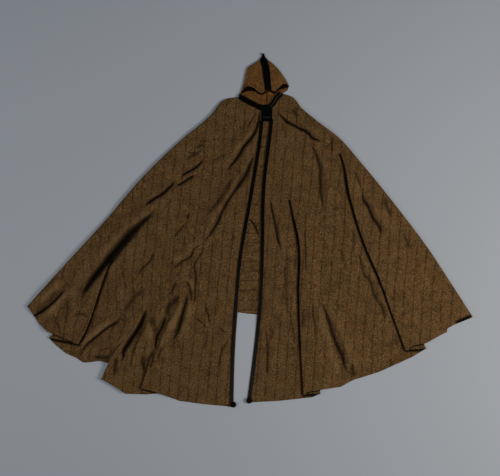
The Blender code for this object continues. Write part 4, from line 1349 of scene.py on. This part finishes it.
class Nodes:
    """A material's nodes, made and linked in a few words."""

    def __init__(self, name):
        self.material = bpy.data.materials.new(name)
        self.material.use_nodes = True
        self.tree = self.material.node_tree

    def put(self, socket, value):
        """Link a value to a socket, or set it there."""
        if isinstance(value, bpy.types.NodeSocket):
            self.tree.links.new(value, socket)
        else:
            socket.default_value = value

    def add(self, kind, values, **settings):
        node = self.tree.nodes.new("ShaderNode" + kind)
        for key, value in settings.items():
            setattr(node, key, value)
        for key, value in values.items():
            self.put(node.inputs[key], value)
        return node

    def math(self, operation, first, second=0.0):
        return self.add("Math", {0: first, 1: second}, operation=operation).outputs[0]

    def times(self, first, second):
        return self.math("MULTIPLY", first, second)

    def total(self, *weighted):
        """Sum of values, each times its weight."""
        parts = [self.times(value, weight) for value, weight in weighted]
        total = parts[0]
        for part in parts[1:]:
            total = self.math("ADD", total, part)
        return total

    def noise(self, where, kind):
        scale, detail, roughness = kind
        return self.add("TexNoise", {"Vector": where, "Scale": scale, "Detail": detail,
                                     "Roughness": roughness}).outputs["Fac"]

    def ramp(self, factor, low, high):
        """A straight ramp from low to high, held at 0 and 1 outside."""
        return self.add("MapRange", {0: factor, "From Min": low, "From Max": high}).outputs[0]

    def attribute(self, name):
        return self.add("Attribute", {}, attribute_name=name).outputs["Fac"]

    def place(self):
        return self.add("TexCoord", {}).outputs["Object"]

    def mix(self, factor, first, second):
        """A colour between two colours, each a socket or a tone."""
        first, second = (value if isinstance(value, bpy.types.NodeSocket) else (*value, 1.0)
                         for value in (first, second))
        return self.add("Mix", {0: factor, 6: first, 7: second}, data_type="RGBA").outputs[2]

    def tint(self, colour, tone, amount, share):
        """A colour with a tone over it, at that share where the amount is 1."""
        return self.mix(self.times(amount, share), colour, tone)

    def bump(self, height, strength, distance):
        return self.add("Bump", {"Strength": strength, "Distance": distance,
                                 "Height": height}).outputs[0]

    def finish(self, **values):
        """The material, with its shader's values set or linked."""
        shader = self.tree.nodes["Principled BSDF"]
        for key, value in values.items():
            self.put(shader.inputs[key.replace("_", " ")], value)
        return self.material


def heather(nodes, tones):
    """Colour of heathered wool, with flecks about as wide as the yarns, and its relief as
    values and what each counts for."""
    where = nodes.place()
    blotch, fleck, fibre, rust = (nodes.noise(where, kind)
                                  for kind in (BLOTCH, FLECK, FIBRE, RUST))
    mixed = nodes.total(*zip((blotch, fleck, fibre), HEATHER_MIX))
    low = nodes.mix(nodes.ramp(mixed, *HEATHER_STEPS[:2]), tones[0], tones[1])
    colour = nodes.mix(nodes.ramp(mixed, *HEATHER_STEPS[1:]), low, tones[2])
    colour = nodes.tint(colour, RUST_TONE, nodes.ramp(rust, *RUST_RAMP), RUST_SHARE)
    twill = nodes.add("TexWave", {"Vector": turned(nodes), **TWILL}).outputs["Fac"]
    return colour, [(fibre, FIBRE_BUMP), (fleck, FLECK_BUMP), (twill, TWILL_BUMP)]


def flat_place(nodes):
    """Place on the flat cloth, from its UV map."""
    return nodes.add("UVMap", {}, uv_map="flat").outputs[0]


def turned(nodes):
    """Place on the flat cloth, turned to the slant of the twill."""
    rotation = (0, 0, math.radians(TWILL_ANGLE))
    return nodes.add("Mapping", {"Vector": flat_place(nodes), "Rotation": rotation}).outputs[0]


def stripe_amount(nodes, where):
    """How dark the thin stripes are, unevenly, on the flat cut."""
    across = nodes.add("SeparateXYZ", {0: where}).outputs[1]
    wander = nodes.times(nodes.noise(where, STRIPE_WANDER), STRIPE_WANDER_BY)
    phase = nodes.times(nodes.math("ADD", across, wander), 2 * math.pi / STRIPE_PITCH)
    line = nodes.ramp(nodes.math("COSINE", phase), *STRIPE_RAMP)
    return nodes.times(line, nodes.ramp(nodes.noise(where, STRIPE_WEAR), *STRIPE_WEAR_RAMP))


def crease_amounts(nodes):
    """The valleys of the creases and their dark core, both from 0 to 1, for relief and painted shade."""
    valley = 0.0
    core = 0.0
    for number in range(CREASE_SETS):
        away = nodes.math("ABSOLUTE", nodes.attribute("crease %d across" % number))
        strength = nodes.attribute("crease %d strength" % number)
        core = nodes.math("MAXIMUM", core, nodes.times(nodes.ramp(away, *CORE_RAMP), strength))
        low = nodes.times(nodes.ramp(away, *VALLEY_RAMP), strength)
        valley = nodes.math("MAXIMUM", valley, low)
    return valley, core


def finish_wool(nodes, colour, relief):
    """Brushed wool with a warm nap."""
    normal = nodes.bump(nodes.total(*relief), 0.8, 0.0012)
    return nodes.finish(Base_Color=colour, Roughness=0.95, Normal=normal, Sheen_Weight=0.08,
                        Sheen_Roughness=0.5, Sheen_Tint=(1.0, 0.85, 0.65, 1.0),
                        Specular_IOR_Level=0.1)


def cloak_finish():
    """Heathered brown twill with thin darker stripes, and sharp creases drawn in painted shade."""
    nodes = Nodes("cloak_wool")
    colour, relief = heather(nodes, CLOAK_TONES)
    stripes = stripe_amount(nodes, flat_place(nodes))
    colour = nodes.tint(colour, STRIPE_TONE, stripes, STRIPE_SHARE)
    lie = nodes.attribute("lie")
    valley, core = crease_amounts(nodes)
    cover = nodes.ramp(nodes.attribute("cover"), COVER_REACH, COVER_FULL)
    # Painted highlight on ridges, and painted shade in lows, creases and under covering layers
    for tone, amount, share in ((RIDGE_HIGHLIGHT_TONE, nodes.ramp(lie, *RIDGE_HIGHLIGHT_RAMP), RIDGE_HIGHLIGHT_SHARE),
                                (SHADE_TONE, nodes.ramp(lie, *LOW_RAMP), LOW_SHARE),
                                (SHADE_TONE, valley, VALLEY_SHARE),
                                (SHADE_TONE, core, CORE_SHARE),
                                (SHADE_TONE, cover, COVER_SHARE)):
        colour = nodes.tint(colour, tone, amount, share)
    return finish_wool(nodes, colour, relief + [(valley, VALLEY_BUMP)])


def hood_finish():
    """The same wool in a warmer light brown, with painted shade inside the mouth."""
    nodes = Nodes("hood_wool")
    colour, relief = heather(nodes, HOOD_TONES)
    hollow = nodes.ramp(nodes.attribute("hollow"), HOOD_HOLLOW_FADE, 0.0)
    seam = nodes.ramp(nodes.attribute("from seam"), SEAM_LINE, 0.0)
    dark = nodes.math("MAXIMUM", hollow, nodes.times(seam, SEAM_SHARE))
    return finish_wool(nodes, nodes.tint(colour, SHADE_TONE, dark, HOLLOW_SHARE), relief)


def black_braid(name, sheen_share):
    """Black wool and silk cord, finely twisted, greyer down the fronts with painted sheen."""
    nodes = Nodes(name)
    where = nodes.place()
    fibre = nodes.noise(where, BRAID_FIBRE)
    colour = nodes.mix(nodes.ramp(fibre, *BRAID_TONE_RAMP), *BRAID_TONES)
    up_the_cloak = nodes.add("SeparateXYZ", {0: where}).outputs["Y"]
    # Painted sheen: the braid turns greyer lower down the cloak
    colour = nodes.tint(colour, BRAID_SHEEN_TONE, nodes.ramp(up_the_cloak, *BRAID_SHEEN_RAMP), sheen_share)
    twist = nodes.add("TexWave", {"Vector": where, "Scale": 210.0, "Distortion": 2.0},
                      bands_direction="DIAGONAL").outputs["Fac"]
    normal = nodes.bump(nodes.math("ADD", twist, fibre), 0.5, 0.0005)
    return nodes.finish(Base_Color=colour, Roughness=nodes.ramp(fibre, *BRAID_ROUGH_RAMP),
                        Normal=normal, Specular_IOR_Level=0.03)


def dark_tape():
    """Ribbed dark ribbon, with a cool sheen painted into its tones."""
    nodes = Nodes("dark_tape_finish")
    where = nodes.place()
    ribs = nodes.add("TexWave", {"Vector": where, "Scale": 165.0, "Distortion": 0.4},
                     bands_direction="Y").outputs["Fac"]
    colour = nodes.mix(nodes.noise(where, TAPE_FLECK), *TAPE_TONES)
    return nodes.finish(Base_Color=colour, Roughness=0.8, Normal=nodes.bump(ribs, 0.6, 0.0005),
                        Specular_IOR_Level=0.01)


def plain_finish(name, tone, roughness):
    """One even tone with hardly any sheen."""
    return Nodes(name).finish(Base_Color=(*tone, 1.0), Roughness=roughness,
                              Specular_IOR_Level=0.1)


def hand_over(piece, node):
    """The piece rides with the cloak and stands for its CAD node."""
    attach(piece, "root")
    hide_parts(node)
    return piece


def trim(name, parts, material, node):
    """A piece of the black trimmings."""
    return hand_over(finish_mesh(name, parts, material), node)


def make_trims(grids, tape):
    """The braids, the hem knots and the clasp, by the side of the cloak that they are on,
    and the hood's tip knot."""
    braid = black_braid("black_braid_finish", PLAIT_SHEEN)
    knot_cord = black_braid("knot_cord_finish", KNOT_SHEEN)
    trims = {}
    for side, grid in zip(SIDES, grids):
        knot = woven_knot(HEM_KNOT_CENTRES[side], HEM_KNOT_FOOT, HEM_KNOT)
        trims[side] = [
            trim("front_plait_" + side, front_braid(side, grid), braid, "front_braid_" + side),
            trim("hem_ball_" + side, knot, knot_cord, "hem_knot_" + side),
        ]
    for side in SIDES:
        node = "neck_braid_" + side
        trims[side].append(trim("neck_plait_" + side, neck_braid(side), braid, node))
    piping_highlight = plain_finish("piping_highlight_finish", PIPING_HIGHLIGHT_TONE, 0.85)
    trims["right"].append(trim("neck_piping", piping(), piping_highlight, "neck_braid_right"))
    rib_highlight = plain_finish("rib_highlight_finish", RIB_HIGHLIGHT_TONE, 0.85)
    for name, parts, material in (("clasp_band", clasp_band(), tape),
                                  ("clasp_rib", clasp_rib(), rib_highlight),
                                  ("clasp_plaits", clasp_plaits(), braid)):
        trims["left"].append(trim(name, parts, material, "clasp"))
    tip = woven_knot(TIP_KNOT_CENTRE, 0.0, TIP_KNOT) + tip_cap()
    return trims, trim("tip_ball", tip, braid, "hood_tip_knot")


def make_cloak():
    """The four cloths and all that is sewn on them."""
    cloak_wool = cloak_finish()
    halves = cloak_halves()
    for side, (grid, flat, marks) in zip(SIDES, halves):
        piece = cloth("cloak_" + side, grid, flat, marks, hem_extra(grid), MARK_NAMES, cloak_wool)
        hand_over(piece, "body")
    hood_wool = hood_finish()
    hoods, hood_grids = zip(*(hood_half(side, hood_wool) for side in SIDES))
    for side, piece in zip(SIDES, hoods):
        hand_over(piece, "hood_" + side)
    tape = dark_tape()
    ribbon = finish_mesh("hood_tape_ribbon", hood_tape(hood_grids), tape)
    hand_over(ribbon, "hood_tape")
    trims, tip = make_trims([half[0] for half in halves], tape)


def make_studio():
    """A plain floor, a pale sky, two soft lamps and the camera."""
    mesh = bpy.data.meshes.new("floor")
    half = FLOOR_SIZE / 2
    mesh.from_pydata([(-half, -half, 0), (half, -half, 0), (half, half, 0), (-half, half, 0)],
                     [], [(0, 1, 2, 3)])
    mesh.materials.append(plain_finish("floor_finish", FLOOR_TONE, 0.95))
    placed("floor", mesh, (0, 0, FLOOR_LEVEL))
    world = bpy.data.worlds.new("studio")
    world.use_nodes = True
    for socket, value in zip(world.node_tree.nodes["Background"].inputs, SKY):
        socket.default_value = value
    bpy.context.scene.world = world
    for name, place, size, power, colour in LAMPS:
        lamp = bpy.data.lights.new(name, "AREA")
        lamp.size = size
        lamp.energy = power
        lamp.color = colour
        thing = placed(name, lamp, place)
        thing.rotation_euler = (-thing.location).to_track_quat("-Z", "Y").to_euler()
    camera = bpy.data.cameras.new("camera")
    camera.lens = CAMERA_LENS
    camera.sensor_width = CAMERA_SENSOR
    bpy.context.scene.camera = placed("camera", camera, CAMERA_PLACE)


make_cloak()
make_studio()
